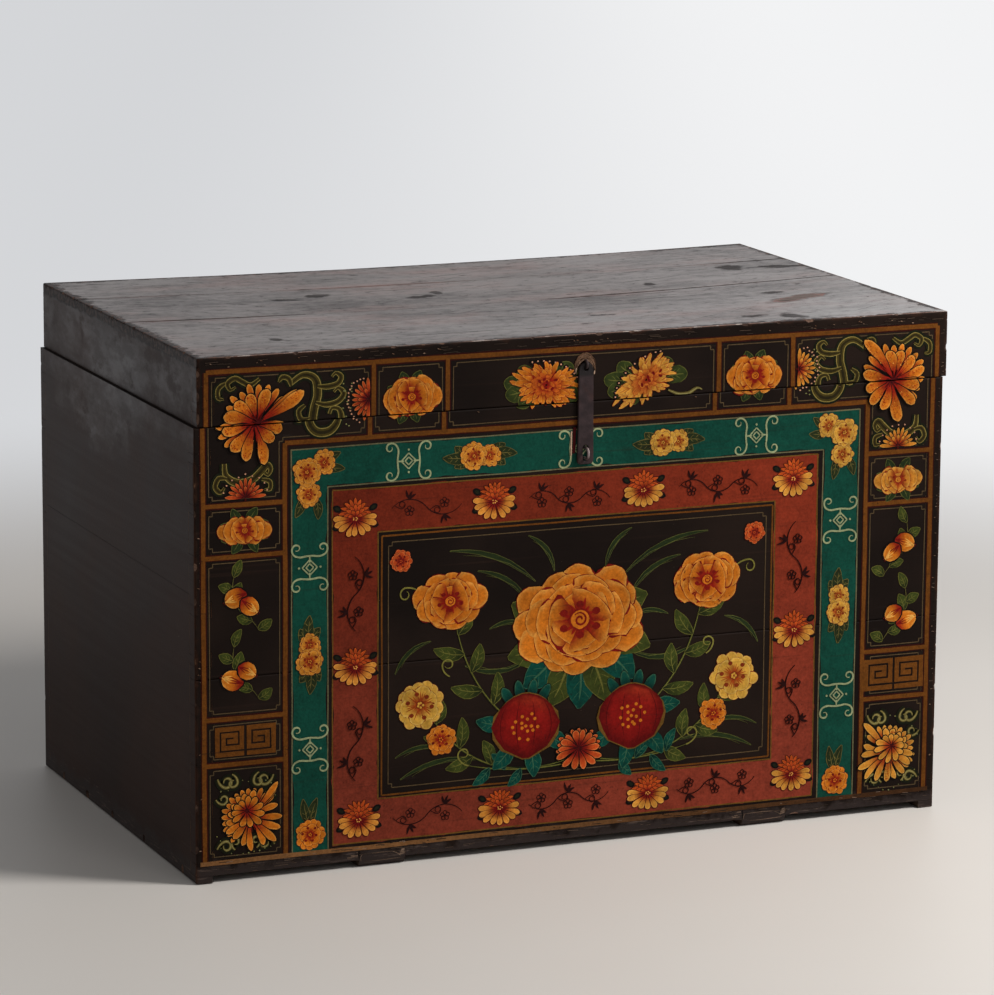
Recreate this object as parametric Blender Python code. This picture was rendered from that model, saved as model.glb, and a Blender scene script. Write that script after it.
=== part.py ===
"""A painted storage trunk: a dovetailed plank box sawn into a body and a hinged lid, closed by an iron hasp.

Metres, +Z up. The origin is on the floor under the middle of the trunk, and the painted front faces -Y.
"""

import math

import bmesh
import bpy
from mathutils import Matrix

# Box
BOX_WIDTH = 0.868
BOX_DEPTH = 0.530
SEAM_HEIGHT = 0.487
SKIRT_HEIGHT = 0.063
WALL = 0.018
FRONT_LIFT = 0.008
FRONT_SEAM = 0.220
SIDE_SEAM = 0.309

# Gaps between pieces that touch, along the sawn seam, and past the faces that a cutter breaks through
FIT = 0.0003
SAWN_GAP = 0.0006
OVERCUT = 0.004

# Dovetails: pins on the side boards, tails on the front and back boards
PIN_PITCH = 0.0535
PIN_FIRST = 0.0265
PIN_NARROW = 0.010
PIN_WIDE = 0.016

# Bottom planks and the skids that they lie on
BOTTOM_THICKNESS = 0.012
BOTTOM_PLANKS = ("front", "middle", "back")
SKID_WIDTH = 0.052
SKID_HEIGHT = 0.014
SKID_SPREAD = 0.450
SKID_CHAMFER = 0.005

# Lid: it has crept to the right, its planks sag, and the front seam of its planks runs at a slant
LID_SHIFT = 0.004
TOP_THICKNESS = 0.010
TOP_EDGE_ROUND = 0.0016
TOP_SEAM_LEFT = 0.240
TOP_SEAM_RIGHT = 0.272
TOP_SEAM_REAR = 0.405
SAG_MIDDLE = 0.006
SAG_BACK = 0.004
SAG_COLUMNS = 12
BATTEN_WIDTH = 0.040
BATTEN_HEIGHT = 0.014
BATTEN_SPREAD = 0.440

# Hinges: forged leaves rolled round a pin
HINGE_SPREAD = 0.540
HINGE_WIDTH = 0.048
HINGE_TIP_WIDTH = 0.026
LEAF_THICKNESS = 0.003
LID_LEAF_LENGTH = 0.048
BODY_LEAF_LENGTH = 0.076
KNUCKLE_RADIUS = 0.00635
KNUCKLE_STEPS = 14
ROLL_ANGLE = math.radians(280)
PIN_HEAD_RADIUS = 0.0050
PIN_HEAD_LENGTH = 0.0030
PIN_STEPS = 14

# Hasp: a strap that hangs from one staple and closes over another
HASP_X = 0.003
HASP_DROP = 0.032
HASP_LENGTH = 0.110
HASP_TOP_WIDTH = 0.017
HASP_FOOT_WIDTH = 0.0185
HASP_FOOT_RADIUS = 0.004
HASP_THICKNESS = 0.003
HASP_EDGE = 0.0007
HASP_STAND_OFF = 0.001
EYE_RIM = 0.004
EYE_PLAY = 0.0009
HANGER_WIRE = 0.0015
KEEPER_WIRE = 0.0016
KEEPER_EYE = 0.008
KEEPER_REACH = 0.013
KEEPER_PLAY = 0.0013
FOOT_RIM = 0.0036
CLINCH_LENGTH = 0.010
ARC_STEPS = 12
BEND_STEPS = 4
BORE_SIDES = 14

# Worked out from the sizes above
HALF_WIDTH = BOX_WIDTH / 2
HALF_DEPTH = BOX_DEPTH / 2
BODY_X = -LID_SHIFT / 2
LID_X = LID_SHIFT / 2
PLANK_UNDERSIDE = SEAM_HEIGHT + SKIRT_HEIGHT
PIN_SLOPE = (PIN_WIDE - PIN_NARROW) / 2 / WALL
HINGE_Y = HALF_DEPTH + FIT + KNUCKLE_RADIUS
HINGE_Z = SEAM_HEIGHT
HANGER_GAP = math.hypot(HASP_THICKNESS / 2 - HASP_EDGE, EYE_RIM / 2) + FIT
HASP_Y = -HALF_DEPTH - HASP_STAND_OFF - HASP_THICKNESS / 2
HASP_Z = PLANK_UNDERSIDE + TOP_THICKNESS - HASP_DROP
KEEPER_Z = HASP_Z + EYE_RIM / 2 - HASP_LENGTH + FOOT_RIM + KEEPER_PLAY + 2 * KEEPER_WIRE + KEEPER_EYE / 2
KEEPER_HALF = KEEPER_EYE / 2 + KEEPER_WIRE


# Scene, materials and mesh helpers
def clear_scene():
    for existing in list(bpy.data.objects):
        bpy.data.objects.remove(existing, do_unlink=True)


def finish(name, colour, roughness, metallic=0.0):
    material = bpy.data.materials.new(name)
    material.use_nodes = True
    shader = material.node_tree.nodes["Principled BSDF"]
    shader.inputs["Base Color"].default_value = (*colour, 1.0)
    shader.inputs["Roughness"].default_value = roughness
    shader.inputs["Metallic"].default_value = metallic
    material.diffuse_color = (*colour, 1.0)
    return material


def pivot(name, location, parent=None):
    """An empty on a joint's axis, which carries the pieces that turn about it."""
    empty = bpy.data.objects.new(name, None)
    empty.empty_display_size = 0.05
    bpy.context.collection.objects.link(empty)
    attach(empty, parent)
    empty.matrix_world = Matrix.Translation(location)
    bpy.context.view_layer.update()
    return empty


def attach(piece, parent):
    if parent is not None:
        piece.parent = parent
        piece.matrix_parent_inverse = parent.matrix_world.inverted()


def place(name, data, material, parent):
    piece = bpy.data.objects.new(name, data)
    if material is not None:
        data.materials.append(material)
    bpy.context.collection.objects.link(piece)
    attach(piece, parent)
    return piece


def solid(name, bm, material=None, parent=None, smooth=False):
    bmesh.ops.recalc_face_normals(bm, faces=bm.faces)
    mesh = bpy.data.meshes.new(name)
    bm.to_mesh(mesh)
    bm.free()
    if smooth:
        mesh.shade_smooth()
        mesh.set_sharp_from_angle(angle=math.radians(40))
    return place(name, mesh, material, parent)


def prism(bm, outline, axis, start, end):
    """Extrude an outline along Y, where it holds (x, z), or along X, where it holds (y, z)."""
    rings = []
    for station in (start, end):
        corners = [(a, station, b) if axis == "Y" else (station, a, b) for a, b in outline]
        rings.append([bm.verts.new(corner) for corner in corners])
    first, last = rings
    bm.faces.new(first)
    bm.faces.new(reversed(last))
    for i in range(len(outline)):
        j = (i + 1) % len(outline)
        bm.faces.new((first[j], first[i], last[i], last[j]))


def rectangle(low_a, high_a, low_b, high_b):
    return [(low_a, low_b), (high_a, low_b), (high_a, high_b), (low_a, high_b)]


def arc(centre_a, centre_b, radius, start, end, steps):
    """Points on an arc, from one angle to another, both ends included."""
    angles = [start + (end - start) * i / steps for i in range(steps + 1)]
    return [(centre_a + radius * math.cos(t), centre_b + radius * math.sin(t)) for t in angles]


def cutter(name, bm, parent=None):
    shape = solid(name, bm, parent=parent)
    shape.hide_render = True
    shape.display_type = "WIRE"
    return shape


def cut(piece, shape):
    modifier = piece.modifiers.new(shape.name, "BOOLEAN")
    modifier.operation = "DIFFERENCE"
    modifier.solver = "EXACT"
    modifier.object = shape


def ease_edges(piece, width, segments):
    modifier = piece.modifiers.new("eased edges", "BEVEL")
    modifier.width = width
    modifier.segments = segments
    modifier.limit_method = "ANGLE"
    modifier.angle_limit = math.radians(40)


# Planks
def level(value):
    """A row or a face that stays at one value."""
    return lambda *place: value


def plank(name, columns, rows, underside, upper, material, parent=None):
    """Loft a plank over columns along X and rows along Y, between two faces given by their heights."""
    bm = bmesh.new()
    layers = []
    for height in (underside, upper):
        grid = {}
        for i, x in enumerate(columns):
            for j, row in enumerate(rows):
                grid[i, j] = bm.verts.new((x, row(x), height(x, row(x))))
        layers.append(grid)
    low, high = layers
    last_i = len(columns) - 1
    last_j = len(rows) - 1
    for i in range(last_i):
        for j in range(last_j):
            corners = [(i, j), (i + 1, j), (i + 1, j + 1), (i, j + 1)]
            bm.faces.new([high[corner] for corner in corners])
            bm.faces.new([low[corner] for corner in reversed(corners)])
    rim = [(i, 0) for i in range(last_i)] + [(last_i, j) for j in range(last_j)]
    rim += [(i, last_j) for i in range(last_i, 0, -1)] + [(0, j) for j in range(last_j, 0, -1)]
    for here, there in zip(rim, rim[1:] + rim[:1]):
        bm.faces.new((low[here], low[there], high[there], high[here]))
    return solid(name, bm, material, parent)


def block(name, x_range, y_range, z_range, material, parent=None):
    rows = [level(y) for y in y_range]
    return plank(name, x_range, rows, level(z_range[0]), level(z_range[1]), material, parent)


# Dovetails
def pin_centres():
    count = 1 + int((PLANK_UNDERSIDE - PIN_FIRST - PIN_WIDE) / PIN_PITCH)
    return [PIN_FIRST + i * PIN_PITCH for i in range(count)]


def pin_half(depth):
    """Half the width of a pin at a depth behind the side's outer face."""
    return PIN_NARROW / 2 + PIN_SLOPE * depth


def socket_cutter(name, middle, parent=None):
    """What the pins of both sides take out of the front and back boards, and the skids out of their lower edges."""
    bm = bmesh.new()
    reach = HALF_DEPTH + OVERCUT
    for side in (-1, 1):
        outer = middle + side * (HALF_WIDTH + OVERCUT)
        inner = middle + side * (HALF_WIDTH - WALL - FIT)
        mouth = pin_half(-OVERCUT) + FIT
        root = pin_half(WALL + FIT) + FIT
        for z in pin_centres():
            outline = [(outer, z - mouth), (outer, z + mouth), (inner, z + root), (inner, z - root)]
            prism(bm, outline, "Y", -reach, reach)
        skid_x = middle + side * SKID_SPREAD / 2
        notch = SKID_WIDTH / 2 + FIT
        notch_outline = rectangle(skid_x - notch, skid_x + notch, 0, SKID_HEIGHT + FIT)
        prism(bm, notch_outline, "Y", -reach, reach)
    return cutter(name, bm, parent)


def tail_cutter(name, side, middle, parent=None):
    """What the tails of the front and back boards take out of one side's ends."""
    bm = bmesh.new()
    outer = middle + side * (HALF_WIDTH + OVERCUT)
    inner = middle + side * (HALF_WIDTH - WALL - OVERCUT)
    mouth = pin_half(-OVERCUT)
    root = pin_half(WALL + OVERCUT)
    centres = pin_centres()
    foot = FRONT_LIFT - FIT
    crown = PLANK_UNDERSIDE + OVERCUT
    lower = [(foot, foot)] + [(z + mouth, z + root) for z in centres]
    upper = [(z - mouth, z - root) for z in centres] + [(crown, crown)]
    for (low_out, low_in), (high_out, high_in) in zip(lower, upper):
        outline = [(outer, low_out), (outer, high_out), (inner, high_in), (inner, low_in)]
        for end in (-1, 1):
            shoulder = end * (HALF_DEPTH - WALL - FIT)
            beyond = end * (HALF_DEPTH + OVERCUT)
            prism(bm, outline, "Y", min(shoulder, beyond), max(shoulder, beyond))
    return cutter(name, bm, parent)


def wall_rows(end):
    """The two long faces of a front or back board, front one first."""
    faces = sorted((end * HALF_DEPTH, end * (HALF_DEPTH - WALL)))
    return [level(y) for y in faces]


def side_range(side, middle):
    return sorted((middle + side * HALF_WIDTH, middle + side * (HALF_WIDTH - WALL)))


# Body of the trunk
def build_body(lacquer, raw_wood):
    sockets = socket_cutter("body_socket_cutter", BODY_X)
    width = (BODY_X - HALF_WIDTH, BODY_X + HALF_WIDTH)
    half_gap = FIT / 2
    boards = {}
    for end_name, end in (("front", -1), ("back", 1)):
        heights = {
            "lower": (FRONT_LIFT, FRONT_SEAM - half_gap),
            "upper": (FRONT_SEAM + half_gap, SEAM_HEIGHT),
        }
        for place_name, (low, high) in heights.items():
            name = f"{end_name}_{place_name}_plank"
            boards[name] = plank(name, width, wall_rows(end), level(low), level(high), lacquer)
            cut(boards[name], sockets)
    for side_name, side in (("left", -1), ("right", 1)):
        tails = tail_cutter(f"{side_name}_tail_cutter", side, BODY_X)
        heights = {
            "lower": (0.0, SIDE_SEAM - half_gap),
            "upper": (SIDE_SEAM + half_gap, SEAM_HEIGHT),
        }
        for place_name, z_range in heights.items():
            name = f"{side_name}_{place_name}_plank"
            depth = (-HALF_DEPTH, HALF_DEPTH)
            boards[name] = block(name, side_range(side, BODY_X), depth, z_range, lacquer)
            cut(boards[name], tails)
    build_bottom(raw_wood)
    return boards


def build_bottom(raw_wood):
    """Two skids let into the front and back boards, and the planks that lie on them inside the walls."""
    for side_name, side in (("left", -1), ("right", 1)):
        middle = BODY_X + side * SKID_SPREAD / 2
        toe = HALF_DEPTH - SKID_CHAMFER
        outline = [(-toe, 0), (toe, 0), (HALF_DEPTH, SKID_CHAMFER), (HALF_DEPTH, SKID_HEIGHT)]
        outline += [(-HALF_DEPTH, SKID_HEIGHT), (-HALF_DEPTH, SKID_CHAMFER)]
        bm = bmesh.new()
        prism(bm, outline, "X", middle - SKID_WIDTH / 2, middle + SKID_WIDTH / 2)
        solid(f"skid_{side_name}", bm, raw_wood)
    reach = HALF_WIDTH - WALL - FIT
    floor = SKID_HEIGHT + FIT
    front = -(HALF_DEPTH - WALL - FIT)
    share = -2 * front / len(BOTTOM_PLANKS)
    for i, place_name in enumerate(BOTTOM_PLANKS):
        y_range = (front + i * share, front + (i + 1) * share - FIT)
        z_range = (floor, floor + BOTTOM_THICKNESS)
        block(f"bottom_plank_{place_name}", (BODY_X - reach, BODY_X + reach), y_range, z_range, raw_wood)


# Lid
def front_seam(x):
    """The slanting seam between the front and middle planks of the top."""
    along = (x - LID_X + HALF_WIDTH) / BOX_WIDTH
    return -HALF_DEPTH + TOP_SEAM_LEFT + (TOP_SEAM_RIGHT - TOP_SEAM_LEFT) * along


def sag(x, y):
    """How far the planks of the top hang down: none round the front and sides, most along their front seam."""
    across = 1 - ((x - LID_X) / HALF_WIDTH) ** 2
    seam = front_seam(x)
    if y < seam:
        return across * SAG_MIDDLE * (y + HALF_DEPTH) / (seam + HALF_DEPTH)
    return across * (SAG_MIDDLE + (SAG_BACK - SAG_MIDDLE) * (y - seam) / (HALF_DEPTH - seam))


def under_planks(x, y):
    return PLANK_UNDERSIDE - sag(x, y)


def against_planks(x, y):
    return under_planks(x, y) - FIT


def over_planks(x, y):
    return under_planks(x, y) + TOP_THICKNESS


def build_lid(pivot_lid, lacquer, top_lacquer, raw_wood):
    sockets = socket_cutter("lid_socket_cutter", LID_X, pivot_lid)
    columns = [LID_X + HALF_WIDTH * (2 * i / SAG_COLUMNS - 1) for i in range(SAG_COLUMNS + 1)]
    foot = SEAM_HEIGHT + SAWN_GAP
    skirts = {}
    for end_name, end in (("front", -1), ("back", 1)):
        name = f"lid_{end_name}_skirt"
        skirts[name] = plank(name, columns, wall_rows(end), level(foot), against_planks, lacquer, pivot_lid)
        cut(skirts[name], sockets)
    for side_name, side in (("left", -1), ("right", 1)):
        name = f"lid_{side_name}_skirt"
        tails = tail_cutter(f"lid_{side_name}_tail_cutter", side, LID_X, pivot_lid)
        depth = (-HALF_DEPTH, HALF_DEPTH)
        z_range = (foot, PLANK_UNDERSIDE - FIT - sag(LID_X + HALF_WIDTH - WALL, front_seam(HALF_WIDTH)))
        skirts[name] = block(name, side_range(side, LID_X), depth, z_range, lacquer, pivot_lid)
        cut(skirts[name], tails)
    build_top(pivot_lid, columns, top_lacquer)
    build_battens(pivot_lid, raw_wood)
    return skirts


def build_top(pivot_lid, columns, top_lacquer):
    rear_seam = -HALF_DEPTH + TOP_SEAM_REAR
    rows = {
        "front": (level(-HALF_DEPTH), lambda x: front_seam(x) - FIT / 2),
        "middle": (lambda x: front_seam(x) + FIT / 2, level(rear_seam - FIT / 2)),
        "back": (level(rear_seam + FIT / 2), level(HALF_DEPTH)),
    }
    for place_name, edges in rows.items():
        name = f"top_plank_{place_name}"
        board = plank(name, columns, edges, under_planks, over_planks, top_lacquer, pivot_lid)
        ease_edges(board, TOP_EDGE_ROUND, 2)


def build_battens(pivot_lid, raw_wood):
    """Two battens across the planks, inside the lid."""
    reach = HALF_DEPTH - WALL - FIT
    rows = [level(-reach), front_seam, level(reach)]

    def underside(x, y):
        return against_planks(x, y) - BATTEN_HEIGHT

    for side_name, side in (("left", -1), ("right", 1)):
        middle = LID_X + side * BATTEN_SPREAD / 2
        columns = (middle - BATTEN_WIDTH / 2, middle + BATTEN_WIDTH / 2)
        plank(f"lid_batten_{side_name}", columns, rows, underside, against_planks, raw_wood, pivot_lid)


# Hinges
def leaf_blank(length, fingers):
    """Outline of a flat leaf, as (across, along), with its fingers at the pin and its rounded tip at minus length."""
    half = HINGE_WIDTH / 2
    tip = HINGE_TIP_WIDTH / 2
    notch = -(KNUCKLE_RADIUS + FIT)
    outline = [(-half, notch)]
    for low, high in fingers:
        outline += [(low, notch), (low, 0), (high, 0), (high, notch)]
    outline += [(half, notch)]
    outline += arc(0, tip - length, tip, 0, -math.pi, ARC_STEPS)
    return [point for i, point in enumerate(outline) if point != outline[i - 1]]


def rolled_leaf(name, middle, length, fingers, upward, material, parent=None):
    """A flat forged leaf whose fingers are rolled round the pin. It lies on the back boards, above or below the pin."""
    bm = bmesh.new()
    outline = leaf_blank(length, fingers)
    corners = {point: bm.verts.new((*point, 0)) for point in outline}
    bm.faces.new([corners[point] for point in outline])
    middle_radius = KNUCKLE_RADIUS - LEAF_THICKNESS / 2
    step = ROLL_ANGLE * middle_radius / KNUCKLE_STEPS
    for low, high in fingers:
        edge = (corners[low, 0], corners[high, 0])
        for i in range(1, KNUCKLE_STEPS + 1):
            following = (bm.verts.new((low, i * step, 0)), bm.verts.new((high, i * step, 0)))
            bm.faces.new((edge[0], edge[1], following[1], following[0]))
            edge = following
    grown = bmesh.ops.extrude_face_region(bm, geom=bm.faces[:])["geom"]
    for vert in grown:
        if isinstance(vert, bmesh.types.BMVert):
            vert.co.z = LEAF_THICKNESS
    for vert in bm.verts:
        across, along, depth = vert.co
        turn = max(along, 0) / middle_radius
        flat = min(along, 0)
        radius = KNUCKLE_RADIUS - depth
        vert.co.x = middle + across
        vert.co.y = HINGE_Y - radius * math.cos(turn)
        vert.co.z = HINGE_Z - upward * (flat + radius * math.sin(turn))
    return solid(name, bm, material, parent, smooth=True)


def turned(name, profile, origin, material, parent=None):
    """Turn a profile of (along X, radius) about an axis along X. Its two ends lie on the axis."""
    bm = bmesh.new()
    poles = [bm.verts.new((origin[0] + profile[i][0], origin[1], origin[2])) for i in (0, -1)]
    rings = []
    for along, radius in profile[1:-1]:
        turns = [2 * math.pi * i / PIN_STEPS for i in range(PIN_STEPS)]
        points = [(radius * math.cos(t), radius * math.sin(t)) for t in turns]
        rings.append([bm.verts.new((origin[0] + along, origin[1] + y, origin[2] + z)) for y, z in points])
    for i in range(PIN_STEPS):
        j = (i + 1) % PIN_STEPS
        bm.faces.new((poles[0], rings[0][j], rings[0][i]))
        bm.faces.new((poles[1], rings[-1][i], rings[-1][j]))
        for near, far in zip(rings, rings[1:]):
            bm.faces.new((near[i], near[j], far[j], far[i]))
    return solid(name, bm, material, parent, smooth=True)


def build_hinges(pivot_lid, iron):
    """Each hinge: a lid leaf with two knuckles, a body leaf with one between them, and a riveted pin."""
    half = HINGE_WIDTH / 2
    third = HINGE_WIDTH / 6
    play = FIT / 2
    bore_facet = math.cos(ROLL_ANGLE / KNUCKLE_STEPS / 2)
    shank = (KNUCKLE_RADIUS - LEAF_THICKNESS) * bore_facet - FIT
    collar = half + FIT
    head = collar + PIN_HEAD_LENGTH
    side_profile = [(head, 0), (head, PIN_HEAD_RADIUS * 0.6), (head - PIN_HEAD_LENGTH / 2, PIN_HEAD_RADIUS)]
    side_profile += [(collar, PIN_HEAD_RADIUS), (collar, shank)]
    profile = [(-along, radius) for along, radius in side_profile] + side_profile[::-1]
    for side_name, side in (("left", -1), ("right", 1)):
        middle = LID_X + side * HINGE_SPREAD / 2
        lid_fingers = [(-half, -third - play), (third + play, half)]
        body_fingers = [(-third + play, third - play)]
        rolled_leaf(f"hinge_{side_name}_lid_leaf", middle, LID_LEAF_LENGTH, lid_fingers, 1, iron, pivot_lid)
        rolled_leaf(f"hinge_{side_name}_body_leaf", middle, BODY_LEAF_LENGTH, body_fingers, -1, iron)
        turned(f"hinge_{side_name}_pin", profile, (middle, HINGE_Y, HINGE_Z), iron)


# Hasp
def stadium(middle_z, half_height, width):
    """A slot with round ends, standing upright on the hasp's centre line."""
    radius = width / 2
    straight = half_height - radius
    upper = arc(HASP_X, middle_z + straight, radius, 0, math.pi, ARC_STEPS)
    lower = arc(HASP_X, middle_z - straight, radius, math.pi, 2 * math.pi, ARC_STEPS)
    return upper + lower


def build_strap(pivot_hasp, iron):
    """The strap: round at its eye, a little wider at its foot, with a slot for the keeper."""
    crown = HASP_Z + EYE_RIM / 2
    foot = crown - HASP_LENGTH
    round_top = HASP_TOP_WIDTH / 2
    half_foot = HASP_FOOT_WIDTH / 2
    corner = half_foot - HASP_FOOT_RADIUS
    outline = arc(HASP_X, crown - round_top, round_top, 0, math.pi, ARC_STEPS)
    toe = foot + HASP_FOOT_RADIUS
    outline += arc(HASP_X - corner, toe, HASP_FOOT_RADIUS, math.pi, 1.5 * math.pi, BEND_STEPS)
    outline += arc(HASP_X + corner, toe, HASP_FOOT_RADIUS, 1.5 * math.pi, 2 * math.pi, BEND_STEPS)
    face = HASP_Y - HASP_THICKNESS / 2
    back = HASP_Y + HASP_THICKNESS / 2
    bm = bmesh.new()
    prism(bm, outline, "Y", face, back)
    strap = solid("hasp_strap", bm, iron, pivot_hasp)

    eye_top = HASP_Z - EYE_RIM / 2
    eye_width = 2 * (HANGER_WIRE + EYE_PLAY)
    eye_foot = HASP_Z - HANGER_GAP - eye_width
    slot_half = KEEPER_HALF + KEEPER_WIRE + KEEPER_PLAY
    slot_width = 2 * (KEEPER_WIRE + KEEPER_PLAY)
    holes = bmesh.new()
    for outline in (
        stadium((eye_top + eye_foot) / 2, (eye_top - eye_foot) / 2, eye_width),
        stadium(KEEPER_Z, slot_half, slot_width),
    ):
        prism(holes, outline, "Y", face - OVERCUT, back + OVERCUT)
    cut(strap, cutter("strap_hole_cutter", holes, pivot_hasp))
    ease_edges(strap, HASP_EDGE, 1)


def staple(name, middle_y, middle_z, half_gap, wire, iron, parent=None):
    """A wire staple: a loop in front, two legs through the board, and their ends clinched flat inside it."""
    inside = -HALF_DEPTH + WALL
    bend = wire + FIT
    loop = [(middle_y - half_gap * math.sin(t), middle_z + half_gap * math.cos(t))
            for t in [math.pi * i / ARC_STEPS for i in range(ARC_STEPS + 1)]]
    legs = []
    for way in (1, -1):
        height = middle_z + way * half_gap
        turns = [math.pi / 2 * i / BEND_STEPS for i in range(BEND_STEPS + 1)]
        leg = [(inside + bend * math.sin(t), height + way * bend * (1 - math.cos(t))) for t in turns]
        legs.append(leg + [(inside + bend, height + way * (bend + CLINCH_LENGTH))])
    path = legs[0][::-1] + loop + legs[1]
    curve = bpy.data.curves.new(name, "CURVE")
    curve.dimensions = "3D"
    curve.bevel_depth = wire
    curve.bevel_resolution = 2
    curve.use_fill_caps = True
    spline = curve.splines.new("POLY")
    spline.points.add(len(path) - 1)
    for point, (y, z) in zip(spline.points, path):
        point.co = (HASP_X, y, z, 1)
    return place(name, curve, iron, parent)


def bore(board, name, middle_z, half_gap, wire, parent=None):
    """Bore a front board for the two legs of a staple."""
    radius = (wire + FIT) / math.cos(math.pi / BORE_SIDES)
    bm = bmesh.new()
    for way in (1, -1):
        outline = arc(HASP_X, middle_z + way * half_gap, radius, 0, 2 * math.pi, BORE_SIDES)[:-1]
        prism(bm, outline, "Y", -HALF_DEPTH - OVERCUT, -HALF_DEPTH + WALL + OVERCUT)
    cut(board, cutter(name, bm, parent))


def build_hasp(pivot_lid, pivot_hasp, lid_skirt, front_board, iron):
    build_strap(pivot_hasp, iron)
    hanger_half = HANGER_GAP + HANGER_WIRE
    staple("hasp_hanger_staple", HASP_Y, HASP_Z, hanger_half, HANGER_WIRE, iron, pivot_lid)
    bore(lid_skirt, "hanger_bore_cutter", HASP_Z, hanger_half, HANGER_WIRE, pivot_lid)
    keeper_y = -HALF_DEPTH - KEEPER_REACH + KEEPER_HALF + KEEPER_WIRE
    staple("hasp_keeper_staple", keeper_y, KEEPER_Z, KEEPER_HALF, KEEPER_WIRE, iron)
    bore(front_board, "keeper_bore_cutter", KEEPER_Z, KEEPER_HALF, KEEPER_WIRE)


def main():
    clear_scene()
    lacquer = finish("black_brown_lacquer", (0.020, 0.014, 0.011), 0.38)
    top_lacquer = finish("worn_grey_brown_lacquer", (0.120, 0.105, 0.095), 0.45)
    raw_wood = finish("aged_bare_wood", (0.240, 0.150, 0.085), 0.75)
    iron = finish("dark_forged_iron", (0.035, 0.027, 0.025), 0.55, 0.7)
    pivot_lid = pivot("lid_pivot", (LID_X, HINGE_Y, HINGE_Z))
    pivot_hasp = pivot("hasp_pivot", (HASP_X, HASP_Y, HASP_Z), pivot_lid)
    boards = build_body(lacquer, raw_wood)
    skirts = build_lid(pivot_lid, lacquer, top_lacquer, raw_wood)
    build_hinges(pivot_lid, iron)
    build_hasp(pivot_lid, pivot_hasp, skirts["lid_front_skirt"], boards["front_upper_plank"], iron)


main()
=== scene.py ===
"""Looks of the painted trunk: worn lacquer boards, a painted front, forged iron, floor, light and camera."""
import math
import random

import bmesh
import bpy
from mathutils import Matrix, Vector


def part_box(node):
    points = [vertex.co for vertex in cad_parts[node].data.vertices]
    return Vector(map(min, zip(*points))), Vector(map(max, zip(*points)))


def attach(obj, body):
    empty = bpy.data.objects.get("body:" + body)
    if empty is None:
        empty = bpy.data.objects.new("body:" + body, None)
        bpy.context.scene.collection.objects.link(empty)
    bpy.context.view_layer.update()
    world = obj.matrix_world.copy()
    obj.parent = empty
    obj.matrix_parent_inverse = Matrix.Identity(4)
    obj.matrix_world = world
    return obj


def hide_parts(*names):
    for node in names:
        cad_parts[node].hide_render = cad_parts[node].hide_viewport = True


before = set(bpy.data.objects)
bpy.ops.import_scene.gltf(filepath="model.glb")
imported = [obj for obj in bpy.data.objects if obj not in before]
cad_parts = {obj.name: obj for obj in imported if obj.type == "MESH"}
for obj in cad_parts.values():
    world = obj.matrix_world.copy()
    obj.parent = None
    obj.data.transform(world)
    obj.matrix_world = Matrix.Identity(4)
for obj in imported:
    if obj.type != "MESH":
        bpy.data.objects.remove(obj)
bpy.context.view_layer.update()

MM = 0.001

# Places on the solids, in metres
BODY_LOW, BODY_HIGH = (Vector(corner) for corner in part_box("front_upper_plank"))
SKIRT_LOW, SKIRT_HIGH = (Vector(corner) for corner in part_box("lid_front_skirt"))
STRAP_LOW, STRAP_HIGH = (Vector(corner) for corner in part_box("hasp_strap"))
TOP_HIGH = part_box("top_plank_front")[1].z
FRONT = BODY_LOW.y
BACK = -FRONT
SEAM = BODY_HIGH.z
BODY_MIDDLE = (BODY_LOW.x + BODY_HIGH.x) / 2
LID_MIDDLE = (SKIRT_LOW.x + SKIRT_HIGH.x) / 2
HALF_WIDTH = (BODY_HIGH.x - BODY_LOW.x) / 2
LID_SHIFT = LID_MIDDLE - BODY_MIDDLE

# Worn boards, in metres
EDGE_EASE = 0.0014
CHIP_BITE = (0.0006, 0.0026)
CHIP_LENGTH = (0.004, 0.016)
CHIP_RADIUS = (0.003, 0.006)
CHIP_RAGGED = (-0.16, 0.10)
CHIP_CLEAR = 0.02
CHIP_FOOT = 0.008
SKIN = 0.001
TOP_SKIN = 0.008
LOOK_AHEAD = 0.003
MERGED, TOUCHING = 0.00002, 0.0001
FLAT_ANGLE = math.radians(0.4)
SEAM_ROUND = 0.0016
SEAM_DEPTH = SEAM_ROUND * 1.2
SEAM_OPENING = 0.06
RIM_PROUD = 0.00004
RIM_DEPTH = 0.0014
RIM_LAP = 0.0006
RIM_HEIGHT = SEAM_ROUND * 1.15
FILL_PROUD = 0.00003
FILL_STEP = 0.006
FILL_SINK = 0.0011
FILL_LAP = 0.0003
FILL_SHIFT = 0.00015
FILL_CLEAR = 0.01

# Nails of the hinges, in metres
NAIL_RADIUS, NAIL_HEIGHT = 0.0042, 0.0016
NAIL_LEVEL = 0.2682
NAIL_SETBACK = 0.01

# How glossy the old lacquer still is: the painted front is dull, the sides less so
FRONT_GLOSS = 0.05
SIDE_GLOSS = 0.065
SIDE_SHEEN = 0.42

# Brush work: how far the paint stands out and keeps clear of the seam, in metres
PAINT_GROUND = 0.00004
PAINT_LAYER = 0.0001
PAINT_STROKE = 0.0000031
PAINT_ROOT = 0.00015
PAINT_CLEAR = 0.0004

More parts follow.
